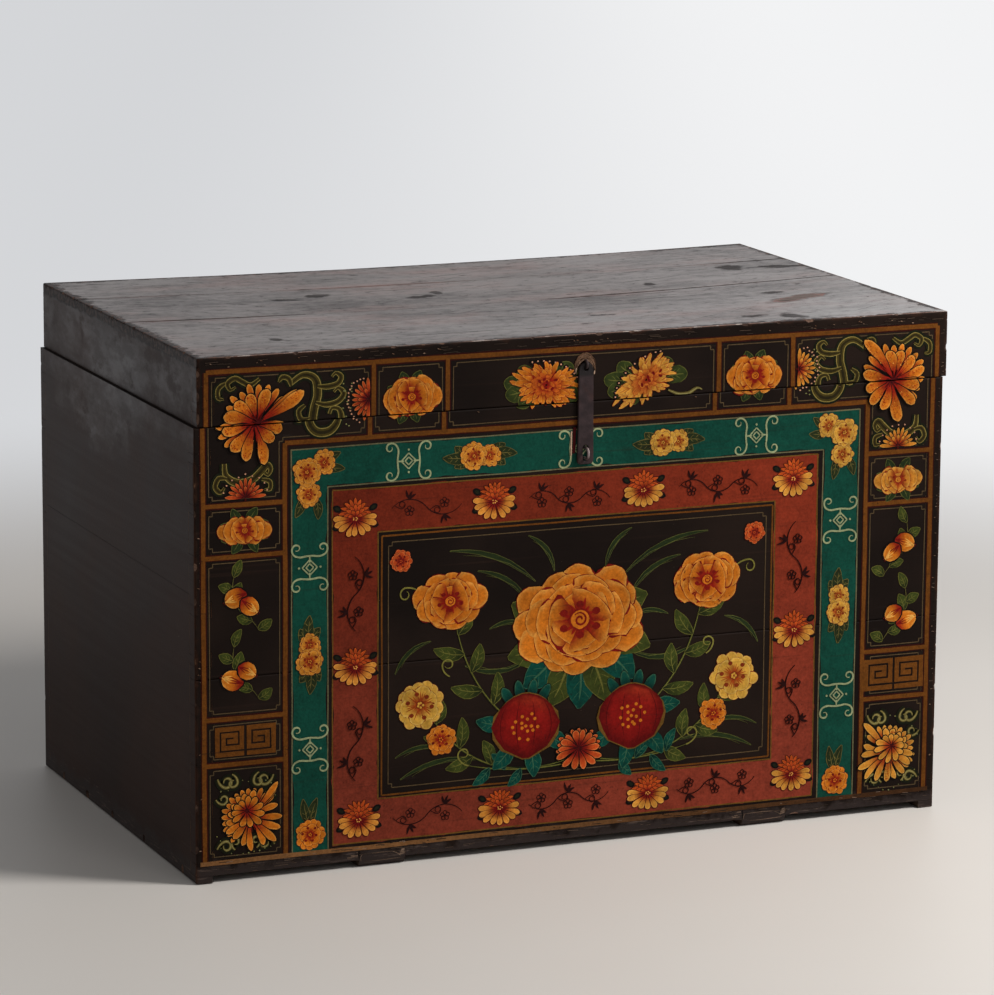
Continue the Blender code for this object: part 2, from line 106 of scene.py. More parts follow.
# Painted lines and bands, in millimetres: across from the middle of the frame, up from the floor
LINE = 4.8
HAIRLINE = 0.95
HAIRLINE_STEP = 4.0
CELL_GAP = 6.2
PANEL_GAP = 7.5
OUTER_LEFT, OUTER_RIGHT = -426.5, 419.5
OUTER_TOP, OUTER_FOOT = 544.5, 21.5
COLUMN_LEFT, COLUMN_RIGHT = -336.3, 340.0
ROW_FOOT = 465.3
ROW_DIVIDERS = (-241.5, -158.0, 156.0, 244.5)
LEFT_DIVIDERS = (403.5, 349.0, 176.0, 127.0)
RIGHT_DIVIDERS = (407.0, 350.5, 184.5, 130.5)
TEAL_LEFT, TEAL_RIGHT, TEAL_TOP = (-328, -290), (288.4, 329.7), (417, 457)
RED_LEFT, RED_RIGHT, RED_TOP, RED_FOOT = (-283.5, -232.3), (230, 280.8), (363, 411), (27.5, 73.5)
PANEL = (-228, 227, 77, 358.5)

# Brush strokes: where their points lie along and across, and the width of a slim one in millimetres
BLADE_SHARES = (0, 0.16, 0.34, 0.52, 0.68, 0.8, 0.89, 0.955, 1.0)
BLADE_COLUMNS = (-1, -0.6, 0, 0.6, 1)
THIN_SHARES = (0, 0.12, 0.4, 0.75, 0.93, 1.0)
THIN_COLUMNS = (-1, 1)
THIN = 3.2
SLIM_SCROLL = 4.0

# Studio
FLOOR_RADIUS, FLOOR_DROP = 30, 0.0006
FLOOR_NEAR, FLOOR_FAR = 1.0, 2.4
BACKDROP_LEFT, BACKDROP_RIGHT = (0.66, 0.67, 0.69), (0.89, 0.895, 0.905)
BACKDROP_HALF = 0.9
GLOSS_LEFT, GLOSS_RIGHT = 0.56, 0.98
WORLD_LIGHT = 0.2

# Camera, fitted to the corners of the trunk
PHOTO_HEIGHT = 995
SENSOR_HEIGHT = 36
FOCAL_PIXELS = 4834.02
CAMERA_PLACE = Vector((-2.0273, -4.897, 1.4159))
CAMERA_YAW, CAMERA_PITCH, CAMERA_ROLL = 0.3948, 0.2016, 0.0064
CAMERA_REACH = 200


def tint(red, green, blue):
    """A paint, given from 0 to 255 as it shows on a screen, in linear light."""
    return tuple(
        value / 255 / 12.92 if value <= 10 else ((value / 255 + 0.055) / 1.055) ** 2.4
        for value in (red, green, blue)
    )


LINE_ORANGE = tint(99, 57, 17)
LINE_RED = tint(46, 11, 7)
LINE_GREY = tint(84, 68, 46)
RUBBED = (tint(122, 84, 50), tint(62, 38, 20))
TEAL = tint(12, 62, 50)
CREAM = tint(142, 150, 112)
CREAM_LINE = tint(98, 93, 67)
# Reds of the bands: they grow lighter from left to right as painted shading for light from the right, and are
# darker at the head than at the foot.
BRICKS = ((tint(113, 46, 31), tint(126, 51, 35)), (tint(99, 33, 17), tint(122, 43, 24)))
OCHRE = tint(100, 70, 26)
INK = tint(34, 8, 7)
BLACK = tint(14, 9, 7)
MAROON = tint(70, 10, 12)
PEARL = tint(196, 142, 112)
FLAME = (tint(132, 24, 12), tint(192, 106, 24), tint(218, 158, 74))
EMBER = (tint(104, 13, 11), tint(178, 68, 26), tint(214, 138, 74))
BUTTER = (tint(146, 58, 18), tint(194, 146, 56), tint(214, 182, 100))
POMEGRANATE = (tint(84, 8, 8), tint(126, 18, 14), tint(164, 56, 30))
MOSS = (tint(24, 30, 13), tint(58, 66, 24), tint(116, 110, 50))
FOREST = (tint(14, 22, 13), tint(34, 45, 21), tint(104, 104, 50))
SCROLL = (tint(36, 30, 11), tint(64, 54, 20), tint(136, 120, 62))
HAZE = tint(20, 22, 10)
BRONZE = (tint(18, 25, 14), tint(36, 44, 22), tint(128, 112, 56))
SEAGREEN = (tint(4, 28, 24), tint(8, 66, 55), tint(70, 108, 78))
SOOT = (tint(12, 10, 8), tint(26, 27, 15), tint(62, 58, 30))
BARE = (tint(98, 68, 48), tint(176, 146, 124))


class Wire:
    """One output in a node tree, for use in sums."""

    def __init__(self, tree, socket):
        self.tree = tree
        self.socket = socket


def join(tree, socket, value):
    """Link a wire to a socket, or set the socket's own value."""
    if isinstance(value, Wire):
        tree.links.new(value.socket, socket)
    else:
        socket.default_value = value


def sum_method(operation, turned=False):
    """A method of Wire that sums up its wire and another value, the other way round if turned."""

    def total(self, other=0.0):
        node = self.tree.nodes.new("ShaderNodeMath")
        node.operation = operation
        for socket, value in zip(node.inputs, (other, self) if turned else (self, other)):
            join(self.tree, socket, value)
        return Wire(self.tree, node.outputs[0])

    return total


for sign, operation in (("add", "ADD"), ("sub", "SUBTRACT"), ("mul", "MULTIPLY")):
    setattr(Wire, f"__{sign}__", sum_method(operation))
    setattr(Wire, f"__r{sign}__", sum_method(operation, True))
for name, operation in (
    ("__truediv__", "DIVIDE"), ("__pow__", "POWER"), ("__abs__", "ABSOLUTE"), ("least", "MINIMUM"),
    ("most", "MAXIMUM"),
):
    setattr(Wire, name, sum_method(operation))


class Nodes:
    """A node tree under construction."""

    def __init__(self, tree):
        self.tree = tree

    def node(self, kind, settings=None, inputs=None, output=0):
        """A new node, with its settings and inputs, as a wire from one of its outputs."""
        node = self.tree.nodes.new(kind)
        for name, value in (settings or {}).items():
            setattr(node, name, value)
        for name, value in (inputs or {}).items():
            join(self.tree, node.inputs[name], value)
        return Wire(self.tree, node.outputs[output])

    def ramp(self, value, low, high):
        """0 below low, 1 above high, smooth between; low may be the larger."""
        values = {"Value": value, "From Min": low, "From Max": high}
        return self.node("ShaderNodeMapRange", {"interpolation_type": "SMOOTHSTEP"}, values)


class Finish(Nodes):
    """A material under construction, on Object coordinates, with its colour so far."""

    def __init__(self, name):
        self.material = bpy.data.materials.new(name)
        self.material.use_nodes = True
        super().__init__(self.material.node_tree)
        self.shader = self.tree.nodes["Principled BSDF"]
        self.place = self.node("ShaderNodeTexCoord", output="Object")
        self.colour = None

    def axis(self, letter):
        return self.node("ShaderNodeSeparateXYZ", inputs={0: self.place}, output=letter)

    def noise(self, waves, shift=0.0, detail=4.0, rough=0.55, vector=None):
        """Noise from 0 to 1, with its waves per metre the same all ways or given along x, y and z."""
        scale = waves if isinstance(waves, tuple) else (waves,) * 3
        away = (shift, shift * 0.7, shift * 1.3)
        moved = {"Vector": vector or self.place, "Scale": scale, "Location": away}
        spot = self.node("ShaderNodeMapping", inputs=moved)
        values = {"Vector": spot, "Scale": 1.0, "Detail": detail, "Roughness": rough}
        return self.node("ShaderNodeTexNoise", inputs=values)

    def patches(self, low, high, *noise):
        """Noise cut to patches, by a ramp from low to high."""
        return self.ramp(self.noise(*noise), low, high)

    def mix(self, first, second, share):
        """Two colours, with share of the second."""
        values = {0: share}
        for socket, colour in ((6, first), (7, second)):
            values[socket] = colour if isinstance(colour, Wire) else (*colour, 1)
        return self.node("ShaderNodeMix", {"data_type": "RGBA"}, values, 2)

    def over(self, colour, share):
        """Lay a colour over the colour so far. It is a wire, or a paint from 0 to 255."""
        paint = colour if isinstance(colour, Wire) else tint(*colour)
        self.colour = self.mix(self.colour, paint, share)

    def shade(self, colour, strength):
        """A colour times a number that varies."""
        grey = self.node("ShaderNodeCombineXYZ", inputs={axis: strength for axis in range(3)})
        settings = {"data_type": "RGBA", "blend_type": "MULTIPLY"}
        return self.node("ShaderNodeMix", settings, {0: 1.0, 6: colour, 7: grey}, 2)

    def turned(self, angle):
        """Places turned about the upright axis."""
        return self.node("ShaderNodeMapping", inputs={"Vector": self.place, "Rotation": (0, 0, angle)})

    def spot(self, mark, warp):
        """Squared distance from a mark on the top, as a share of its size, made uneven by two warps."""
        x, depth, wide, deep, slant = mark
        across = self.axis("X") - x + warp[0]
        back = self.axis("Y") - (FRONT + depth) + warp[1]
        along = (across * math.cos(slant) + back * math.sin(slant)) / wide
        aside = (back * math.cos(slant) - across * math.sin(slant)) / deep
        return along * along + aside * aside

    def bump(self, height, distance):
        values = {"Height": height, "Distance": distance}
        self.set(Normal=self.node("ShaderNodeBump", inputs=values, output="Normal"))

    def set(self, **values):
        for name, value in values.items():
            socket = self.shader.inputs[name.replace("_", " ")]
            join(self.tree, socket, (*value, 1) if isinstance(value, tuple) else value)
        return self.material


def edge_distance(finish, middle, low, high):
    """Distance along the surface of a box from its nearest edge."""
    gaps = [
        HALF_WIDTH - abs(finish.axis("X") - middle),
        BACK - abs(finish.axis("Y")),
        (finish.axis("Z") - low).least(high - finish.axis("Z")),
    ]
    inner = gaps[0].least(gaps[1])
    outer = gaps[0].most(gaps[1])
    return inner.most(outer.least(gaps[2]))


def along_grain(board_axis, long_waves, cross_waves):
    """Waves per metre, few along the grain and many across it."""
    waves = [cross_waves] * 3
    waves[board_axis] = long_waves
    return tuple(waves)


def lacquer(name, middle, grain, head, gloss, sheen):
    """Black-brown lacquer, rubbed brown along its edges and scuffed at the foot. Sheen is left in clouds."""
    coat = Finish(name)
    height = coat.axis("Z")
    cloud = coat.noise(6, 3.1)
    streak = coat.noise(along_grain(grain, 3, 160), 1.7, 5)
    fine = coat.noise(420, 5.3, 2)
    rag = coat.noise(55, 8.2, 5, 0.65)
    rub = edge_distance(coat, middle, -1.0, head) + (rag - 0.5) * 0.014
    # Painted light: the same lacquer gets a lighter, browner base on the sides, which lie in shade, than on
    # the front.
    low, high = (tint(39, 25, 20), tint(56, 39, 32)) if sheen else (tint(17, 10, 7), tint(32, 22, 17))
    coat.colour = coat.mix(low, high, coat.ramp(cloud, 0.3, 0.75))
    coat.over((50, 34, 27), coat.ramp(streak, 0.6, 0.8) * 0.4)
    coat.over((74, 66, 62), coat.patches(0.64, 0.78, along_grain(grain, 9, 90), 6.6, 6, 0.7) * 0.3)
    nicks = coat.noise(along_grain(grain, 30, 420), 7.3, 5, 0.7) * 0.8 + streak * 0.3
    scuffed = coat.mix(tint(50, 42, 40), tint(122, 104, 94), coat.ramp(nicks, 0.60, 0.76))
    coat.over(scuffed, coat.ramp(height + (rag - 0.5) * 0.05, 0.025, 0.012) * 0.8)
    worn = coat.ramp(rub, 0.0040, 0.0)
    bare = coat.ramp(rub, 0.0, -0.0028) * coat.patches(0.46, 0.58, 38, 2.4, 4, 0.6)
    coat.over((70, 42, 29), worn * (0.6 if sheen else 0.3))
    coat.over((146, 106, 80), bare * 0.85)
    fleck = coat.patches(0.75, 0.79, 300, 4.4, 3) * coat.patches(0.5, 0.64, 14, 9.9)
    coat.over((128, 104, 90), fleck * 0.7)
    coat.bump(streak * 0.6 + fine * 0.25 - worn * 0.6 - fleck * 0.6, 0.0004)
    rough = 0.36 + cloud * 0.18 + streak * 0.1 + worn * 0.2
    if sheen:
        blotch = coat.ramp(coat.noise((9, 5, 9), 12.5, 6, 0.65) + (height - 0.44) * 2.2, 0.42, 0.80)
        scuff = coat.patches(0.40, 0.60, (40, 26, 60), 2.2, 5, 0.7)
        smear = coat.patches(0.63, 0.52, (24, 17, 26), 7.9, 5, 0.65)
        below = head - height
        soil = coat.ramp(below + (rag - 0.5) * 0.012, 0.0130, 0.0105)
        grit = coat.patches(0.40, 0.74, 170, 3.6, 4, 0.65)
        coat.over(coat.mix(tint(30, 22, 19), tint(82, 64, 56), grit), soil * 0.9)
        coat.over((20, 14, 12), coat.ramp(abs(below - 0.0118), 0.0018, 0.0004) * 0.5)
        polish = blotch * (0.5 + scuff * 0.5) * (0.2 + smear * 0.8) * (1 - worn) * (1 - soil * 0.9)
        polish = polish * (1 - coat.ramp(below, 0.040, 0.012) * 0.35)
        coat.set(Coat_Weight=polish * sheen, Coat_Roughness=0.34)
    return coat.set(Base_Color=coat.colour, Roughness=rough, Specular_IOR_Level=gloss)


def seam_ends(node):
    """Where the seam behind a plank of the top meets the left and right ends."""
    corners = [vertex.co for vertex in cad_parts[node].data.vertices]
    return [
        max(corner.y for corner in corners if abs(corner.x - end) < 0.002)
        for end in (min(corner.x for corner in corners), max(corner.x for corner in corners))
    ]


# Marks on the top: across, distance from the front, half length and half width in metres, and slant
TOP_KNOTS = (
    (0.348, 0.372, 0.016, 0.018, 0.0), (0.404, 0.357, 0.030, 0.009, -0.25), (0.215, 0.308, 0.008, 0.008, 0.0),
    (-0.166, 0.362, 0.014, 0.010, 0.2), (-0.210, 0.344, 0.020, 0.006, -0.3),
    (-0.030, 0.342, 0.007, 0.010, 0.0),
    (-0.055, 0.322, 0.018, 0.009, 0.3), (0.265, 0.032, 0.012, 0.016, 0.5), (0.077, 0.122, 0.015, 0.004, 0.0),
    (0.317, 0.192, 0.012, 0.008, 0.0), (0.225, 0.050, 0.017, 0.005, 0.0), (-0.315, 0.088, 0.006, 0.010, 0.3),
)
TOP_BARE_PATCH = (0.327, 0.147, 0.043, 0.013, 0.42)
TOP_SCRATCH_TURNS = (-0.55, -0.22, 0.07, 0.4)
# Seams of the top, and how far in from each end they stand open
TOP_SEAMS = {"top_plank_front": (-0.20, 0.05), "top_plank_middle": (-0.42, 0.33)}


def top_lacquer(name):
    """The top's lacquer: a grey film over black, with knots, a bare patch, scratches and ragged edges, a
    painted sheen on its front right and painted glints along its front edge.
    """
    coat = Finish(name)
    across, along = coat.axis("X"), coat.axis("Y")
    cloud = coat.noise((5, 8, 8), 1.3, 5, 0.6)
    streak = coat.noise((4, 70, 70), 2.9, 6, 0.6)
    hair = coat.noise((26, 420, 420), 7.1, 3)
    patchy = coat.noise((60, 90, 90), 3.7, 7, 0.72)
    speck = coat.noise((240, 300, 300), 6.4, 4, 0.7)
    warp = [(coat.noise(52, shift, 4, 0.6) - 0.5) * 0.026 for shift in (4.8, 9.1)]
    film = coat.ramp(cloud * 0.4 + streak * 0.22 + patchy * 0.38, 0.36, 0.6)
    coat.colour = coat.mix(tint(40, 28, 23), tint(90, 76, 70), film)
    coat.over((88, 60, 44), coat.ramp(hair * 0.4 + patchy * 0.6, 0.54, 0.68) * 0.55)
    coat.over((124, 78, 66), coat.patches(0.46, 0.72, (6, 15, 15), 4.6, 6, 0.68) * 0.5)
    marks = [
        coat.patches(0.69, 0.76, (34, 80, 80), 5.9, 3, 0.5) * 0.85,
        coat.patches(0.63, 0.69, (5, 230, 230), 4.1, 3, 0.6)
        * coat.patches(0.42, 0.6, (7, 12, 12), 2.3) * 0.9,
        coat.patches(0.67, 0.72, (24, 150, 150), 8.8, 3, 0.55) * 0.85,
    ]
    knotted = 0.72 + coat.ramp(hair, 0.3, 0.6) * 0.28
    for knot in TOP_KNOTS:
        marks.append(coat.ramp(coat.spot(knot, warp) + (patchy - 0.5) * 1.4, 1.5, 0.55) * knotted)
    for number, turn in enumerate(TOP_SCRATCH_TURNS):
        scratch = coat.patches(0.69, 0.73, (7, 330, 7), 3.0 * number, 2, 0.5, coat.turned(turn))
        marks.append(scratch * coat.patches(0.44, 0.56, 9, 5.0 * number) * 0.9)
    for node, (left_open, right_open) in TOP_SEAMS.items():
        left, right = seam_ends(node)
        line = (across - SKIRT_LOW.x) * ((right - left) / (SKIRT_HIGH.x - SKIRT_LOW.x)) + left
        gap = abs(along - line) + (patchy - 0.5) * 0.004
        opened = coat.ramp(across, left_open, left_open - SEAM_OPENING) * 0.6
        opened = opened.most(coat.ramp(across, right_open, right_open + SEAM_OPENING))
        marks.append(coat.ramp(gap, 0.0026, 0.0010) * opened)
    dark = coat.ramp(patchy * 0.55 + speck * 0.45, 0.44, 0.35) * 0.8
    for mark in marks:
        dark = dark.most(mark)
    edge = edge_distance(coat, LID_MIDDLE, SKIRT_LOW.z, TOP_HIGH)
    sweep = (coat.noise(11, 6.7, 3) - 0.5) * 0.022
    rim = coat.ramp(edge + (coat.noise(75, 8.2, 6, 0.72) - 0.5) * 0.036 + sweep, 0.0105, 0.005)
    dirty = dark.most(rim)
    coat.over((22, 15, 13), dirty * 0.92)
    coat.over((92, 56, 40), rim * coat.ramp(speck * 0.5 + patchy * 0.5, 0.51, 0.58) * 0.8)
    arris = coat.ramp(edge + (patchy - 0.5) * 0.009, 0.0030, 0.0006) * coat.ramp(cloud, 0.36, 0.5)
    arris = arris * coat.ramp(across, SKIRT_LOW.x + 0.006, SKIRT_LOW.x + 0.03)
    coat.over((150, 118, 104), arris * 0.8)
    # Painted highlight: near-white glints in dashes along the worn arris.
    coat.over((216, 202, 192), arris * coat.patches(0.54, 0.62, 60, 3.3, 3) * 0.85)
    reach = coat.spot(TOP_BARE_PATCH, warp) + (patchy - 0.5) * 1.8
    patch = coat.ramp(reach, 1.0, 0.75)
    scar = coat.ramp(reach, 0.45, 0.85) * patch
    halo = coat.ramp(reach, 1.9, 1.0) * (1 - patch)
    grain = coat.mix(tint(58, 42, 35), tint(100, 80, 70), coat.ramp(streak * 0.5 + hair * 0.5, 0.42, 0.6))
    coat.over((24, 17, 14), halo * 0.4)
    coat.over(coat.mix(grain, tint(146, 96, 84), scar * 0.8), patch * 0.95)
    coat.bump(streak * 0.6 + hair * 0.4 + patchy * 0.8 - dark * 0.8 - patch - rim * 0.6, 0.0007)
    # Painted sheen: the front right of the top is lightened in colour, and the same area also gets a glossier
    # coat.
    rubbed = coat.ramp(across - along, 0.36, 0.62)
    coat.over((132, 126, 122), rubbed * (1 - dirty) * (1 - patch) * 0.36)
    polish = 1 + rubbed * 0.4 - coat.ramp(0.3 - abs(across), 0.0, 0.2) * coat.ramp(along, -0.16, 0.0) * 0.16
    gloss = (0.46 + film * 0.46) * polish * (1 - dirty.most(patch) * 0.85) * (1 - halo * 0.5)
    coat.set(Coat_Weight=gloss, Coat_Roughness=0.3)
    rough = 0.5 + patchy * 0.2 + dark * 0.2
    return coat.set(Base_Color=coat.colour, Roughness=rough, Specular_IOR_Level=0.12)


def bare_wood(name, grain):
    """Aged softwood with grain along one axis, browned, stained and dark near the floor."""
    wood = Finish(name)
    ring = wood.noise(along_grain(grain, 1.2, 26), 2.2, 3, 0.5)
    line = abs(wood.node("ShaderNodeMath", {"operation": "SINE"}, {0: ring * 40.0}))
    fibre = wood.noise(along_grain(grain, 9, 420), 6.1, 3)
    wood.colour = wood.mix(tint(134, 99, 68), tint(164, 125, 88), line)
    wood.over((84, 54, 34), wood.ramp(fibre, 0.55, 0.8) * 0.6)
    wood.over((66, 46, 34), wood.patches(0.5, 0.75, 5, 9.4) * 0.55)
    wood.over((38, 30, 27), wood.ramp(wood.axis("Z"), 0.013, 0.009) * 0.9)
    wood.bump(fibre * 0.7 + line * 0.3, 0.0005)
    return wood.set(Base_Color=wood.colour, Roughness=0.66 + fibre * 0.2, Specular_IOR_Level=0.3)


def forged_iron(name, low, high, bright, gloss=0.4, shaded=None):
    """Forged iron from dark to rubbed, browned with rust. Above the height called shaded it is darkened as
    painted shade.
    """
    iron = Finish(name)
    scale = iron.noise(90, 3.3, 5)
    pit = iron.noise(420, 6.2, 3)
    rust = iron.patches(0.42, 0.7, 38, 1.1, 5)
    iron.colour = iron.mix(tint(*low), tint(*high), iron.ramp(scale, 0.35, 0.7))
    iron.over((70, 40, 31), rust * 0.5)
    metal = bright - rust * bright * 0.6
    if shaded:
        # Painted shade: above the height called shaded the iron is darkened and loses its metal.
        painted_shade = iron.ramp(iron.axis("Z") + (scale - 0.5) * 0.004, shaded, shaded + 0.004)
        iron.over((18, 14, 14), painted_shade * 0.85)
        metal = metal * (1 - painted_shade)
    iron.bump(scale * 0.7 + pit * 0.4, 0.0007)
    iron.set(Metallic=metal, Specular_IOR_Level=gloss)
    return iron.set(Base_Color=iron.colour, Roughness=0.4 + scale * 0.2 + rust * 0.18)


def brush_paint(name):
    """Old oil paint: brush streaks along each stroke, darkened patches and small losses."""
    paint = Finish(name)
    tone = paint.node("ShaderNodeAttribute", {"attribute_name": "tone"}, output="Color")
    brush = paint.node("ShaderNodeAttribute", {"attribute_name": "brush"}, output="Vector")
    streak = paint.noise((3.2, 0.09, 40.0), 0.0, 3, 0.6, brush)
    grime = paint.noise(9, 4.0, 5)
    grain = paint.noise((6, 6, 240), 2.0, 4)
    mottle = paint.noise(380, 5.0, 4, 0.6)
    fine = paint.noise(900, 1.0, 2)
    blotch = paint.noise(85, 8.5, 5, 0.65)
    uneven = streak * 0.5 + mottle * 1.0 + blotch * 0.8 + paint.ramp(grime, 0.3, 0.7) * 0.24 - 0.3
    paint.colour = paint.shade(tone, uneven)
    paint.over((36, 22, 14), paint.ramp(grain, 0.58, 0.82) * 0.45)
    loss = paint.noise(360, 7.7, 4, 0.65) + (paint.noise(13, 3.9) - 0.5) * 0.45
    loss = paint.ramp(loss, 0.68, 0.75)
    paint.over((24, 17, 14), loss * 0.8)
    paint.bump(streak * 0.5 + mottle * 0.6 + fine * 0.3 + grain * 0.3 - loss * 0.9, 0.00035)
    rough = 0.36 + grime * 0.2 + mottle * 0.1
    return paint.set(Base_Color=paint.colour, Roughness=rough, Specular_IOR_Level=FRONT_GLOSS)


def chipped_wood(name):
    """Fresh and dirty wood in the small breaks along the edges."""
    wood = Finish(name)
    fibre = wood.noise((120, 300, 300), 1.9, 3)
    dirt = wood.noise(45, 6.0)
    wood.colour = wood.mix(tint(80, 54, 40), tint(142, 112, 94), wood.ramp(dirt, 0.62, 0.5) * fibre)
    wood.over((48, 31, 23), wood.ramp(dirt, 0.36, 0.56) * 0.92)
    wood.bump(fibre, 0.0006)
    return wood.set(Base_Color=wood.colour, Roughness=0.75 + fibre * 0.15, Specular_IOR_Level=0.25)


BODY_LACQUER_X = lacquer("body_lacquer_front", BODY_MIDDLE, 0, 1.0, FRONT_GLOSS, 0)
BODY_LACQUER_Y = lacquer("body_lacquer_side", BODY_MIDDLE, 1, 1.0, SIDE_GLOSS, SIDE_SHEEN)
LID_LACQUER_X = lacquer("lid_lacquer_front", LID_MIDDLE, 0, TOP_HIGH + SKIN, FRONT_GLOSS, 0)
LID_LACQUER_Y = lacquer("lid_lacquer_side", LID_MIDDLE, 1, TOP_HIGH + SKIN, SIDE_GLOSS, SIDE_SHEEN)
TOP_LACQUER = top_lacquer("top_lacquer_worn")
WOOD_X = bare_wood("bare_wood_long", 0)
WOOD_Y = bare_wood("bare_wood_end", 1)
IRON = forged_iron("forged_iron_browned", (40, 32, 32), (70, 58, 57), 0.6)
# The strap's head, its top 16.5 mm, carries painted shade.
STRAP_IRON = forged_iron("forged_iron_strap", (36, 26, 27), (54, 41, 42), 0.08, 0.16, STRAP_HIGH.z - 0.0165)
STAPLE_IRON = forged_iron("forged_iron_rubbed", (84, 72, 72), (156, 140, 138), 0.8)
PAINT = brush_paint("brush_paint")
CHIPPED = chipped_wood("chipped_wood")


def link(name, data):
    """A new object in the scene."""
    thing = bpy.data.objects.new(name, data)
    bpy.context.scene.collection.objects.link(thing)
    return thing


def mesh_of(name, work):
    """A mesh of finished work, which is then let go."""
    mesh = bpy.data.meshes.new(name)
    work.to_mesh(mesh)
    work.free()
    return mesh


def new_piece(name, mesh, materials, body, nodes=()):
    """Put a finished mesh in the scene, on its body."""
    piece = link(name, mesh)
    for material in materials:
        mesh.materials.append(material)
    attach(piece, body)
    if nodes:
        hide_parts(*nodes)
    return piece


def mixed(first, second, share):
    """A colour or a place between two."""
    return tuple(a + (b - a) * share for a, b in zip(first, second))


def blend(first, second, share):
    """A set of tones between two sets."""
    return tuple(mixed(a, b, share) for a, b in zip(first, second))


def eased(value, low, high):
    """0 below low, 1 above high, smooth between."""
    share = min(max((value - low) / (high - low), 0), 1)
    return share * share * (3 - 2 * share)


def chip_cutter(name, edges, seed):
    """Ragged lumps to cut out of the boards along edges, which have their ends, their way out and a count."""
    pick = random.Random(seed)
    lumps = bmesh.new()
    for start, end, outward, count in edges:
        run = end - start
        ahead = run.normalized()
        out = outward.normalized()
        turn = Matrix((ahead, out, ahead.cross(out))).transposed().to_4x4()
        for place in range(count):
            centre = start + run * (place + pick.uniform(0.25, 0.75)) / count
            half = pick.uniform(*CHIP_LENGTH) / 2
            radius = pick.uniform(*CHIP_RADIUS)
            bite = min(pick.uniform(*CHIP_BITE), half * 0.6)
            centre = centre + out * (radius - bite)
            form = Matrix.Translation(centre) @ turn @ Matrix.Diagonal((half, radius, radius * 1.3, 1))
            lump = bmesh.ops.create_icosphere(lumps, subdivisions=2, radius=1.0, matrix=form)
            for vertex in lump["verts"]:
                vertex.co += (vertex.co - centre) * pick.uniform(*CHIP_RAGGED)
    mesh = mesh_of(name, lumps)
    mesh.materials.append(CHIPPED)
    return link(name, mesh)


def board_mesh(node, low, high):
    """A merged copy of a board's solid, with the upright corners of the box eased."""
    board = bmesh.new()
    board.from_mesh(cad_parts[node].data)
    bmesh.ops.remove_doubles(board, verts=board.verts, dist=MERGED)
    bmesh.ops.dissolve_limit(board, angle_limit=FLAT_ANGLE, verts=board.verts, edges=board.edges)

    def on_corner(point):
        return all(min(point[axis] - low[axis], high[axis] - point[axis]) < TOUCHING for axis in (0, 1))

    corners = [edge for edge in board.edges if all(on_corner(vertex.co) for vertex in edge.verts)]
    bmesh.ops.bevel(
        board, geom=corners, offset=EDGE_EASE, segments=2, profile=0.5, affect="EDGES", clamp_overlap=True
    )
    bmesh.ops.triangulate(board, faces=board.faces)
    return mesh_of(node + "_worn", board)


def faces_out(low, high, spot, normal):
    """Whether a face looks out of the box from low to high."""
    ahead = spot + normal * LOOK_AHEAD
    return any(ahead[axis] < low[axis] or ahead[axis] > high[axis] for axis in range(3))


def worn_board(node, body, slot, finishes, inside, box, cutter=None):
    """A board with eased and chipped edges. Its faces that look out are lacquered as the front, side or top
    of the trunk, by the way they look. The others are bare, apart from the dark joints of lacquered ones."""
    mesh = board_mesh(node, *box)
    kinds = list(dict.fromkeys((*finishes, inside, CHIPPED)))
    front, side, top = (kinds.index(finish) for finish in finishes)
    for face in mesh.polygons:
        if faces_out(*box, face.center, face.normal):
            face.material_index = top if face.normal.z > 0.5 else side if abs(face.normal.x) > 0.7 else front
        elif slot == "painted_lacquer" and abs(face.normal.z) > 0.9:
            face.material_index = front
        else:
            face.material_index = kinds.index(inside)
    piece = new_piece(node + "_worn", mesh, kinds, body, (node,))
    if cutter:
        cut = piece.modifiers.new("chips", "BOOLEAN")
        cut.operation = "DIFFERENCE"
        cut.solver = "EXACT"
        cut.material_mode = "TRANSFER"
        cut.object = cutter
        view = bpy.context.evaluated_depsgraph_get()
        piece.data = bpy.data.meshes.new_from_object(piece.evaluated_get(view))
        piece.modifiers.remove(cut)


def corner_edges(low, high, count_upright, count_long, count_short, at_head):
    """The edges of a box that wear, its upright corners and its head or foot, with the way out of each."""
    sides_x, sides_y = (((low[axis], -1), (high[axis], 1)) for axis in (0, 1))
    z, out_z = (high.z, 1) if at_head else (low.z, -1)
    edges = [
        (Vector((x, y, low.z)), Vector((x, y, high.z)), Vector((out_x, out_y, 0)), count_upright)
        for x, out_x in sides_x for y, out_y in sides_y
    ]
    for y, out_y in sides_y:
        ends = Vector((low.x + CHIP_CLEAR, y, z)), Vector((high.x - CHIP_CLEAR, y, z))
        edges.append((*ends, Vector((0, out_y, out_z)), count_long))
    for x, out_x in sides_x:
        ends = Vector((x, low.y + CHIP_CLEAR, z)), Vector((x, high.y - CHIP_CLEAR, z))
        edges.append((*ends, Vector((out_x, 0, out_z)), count_short))
    return edges


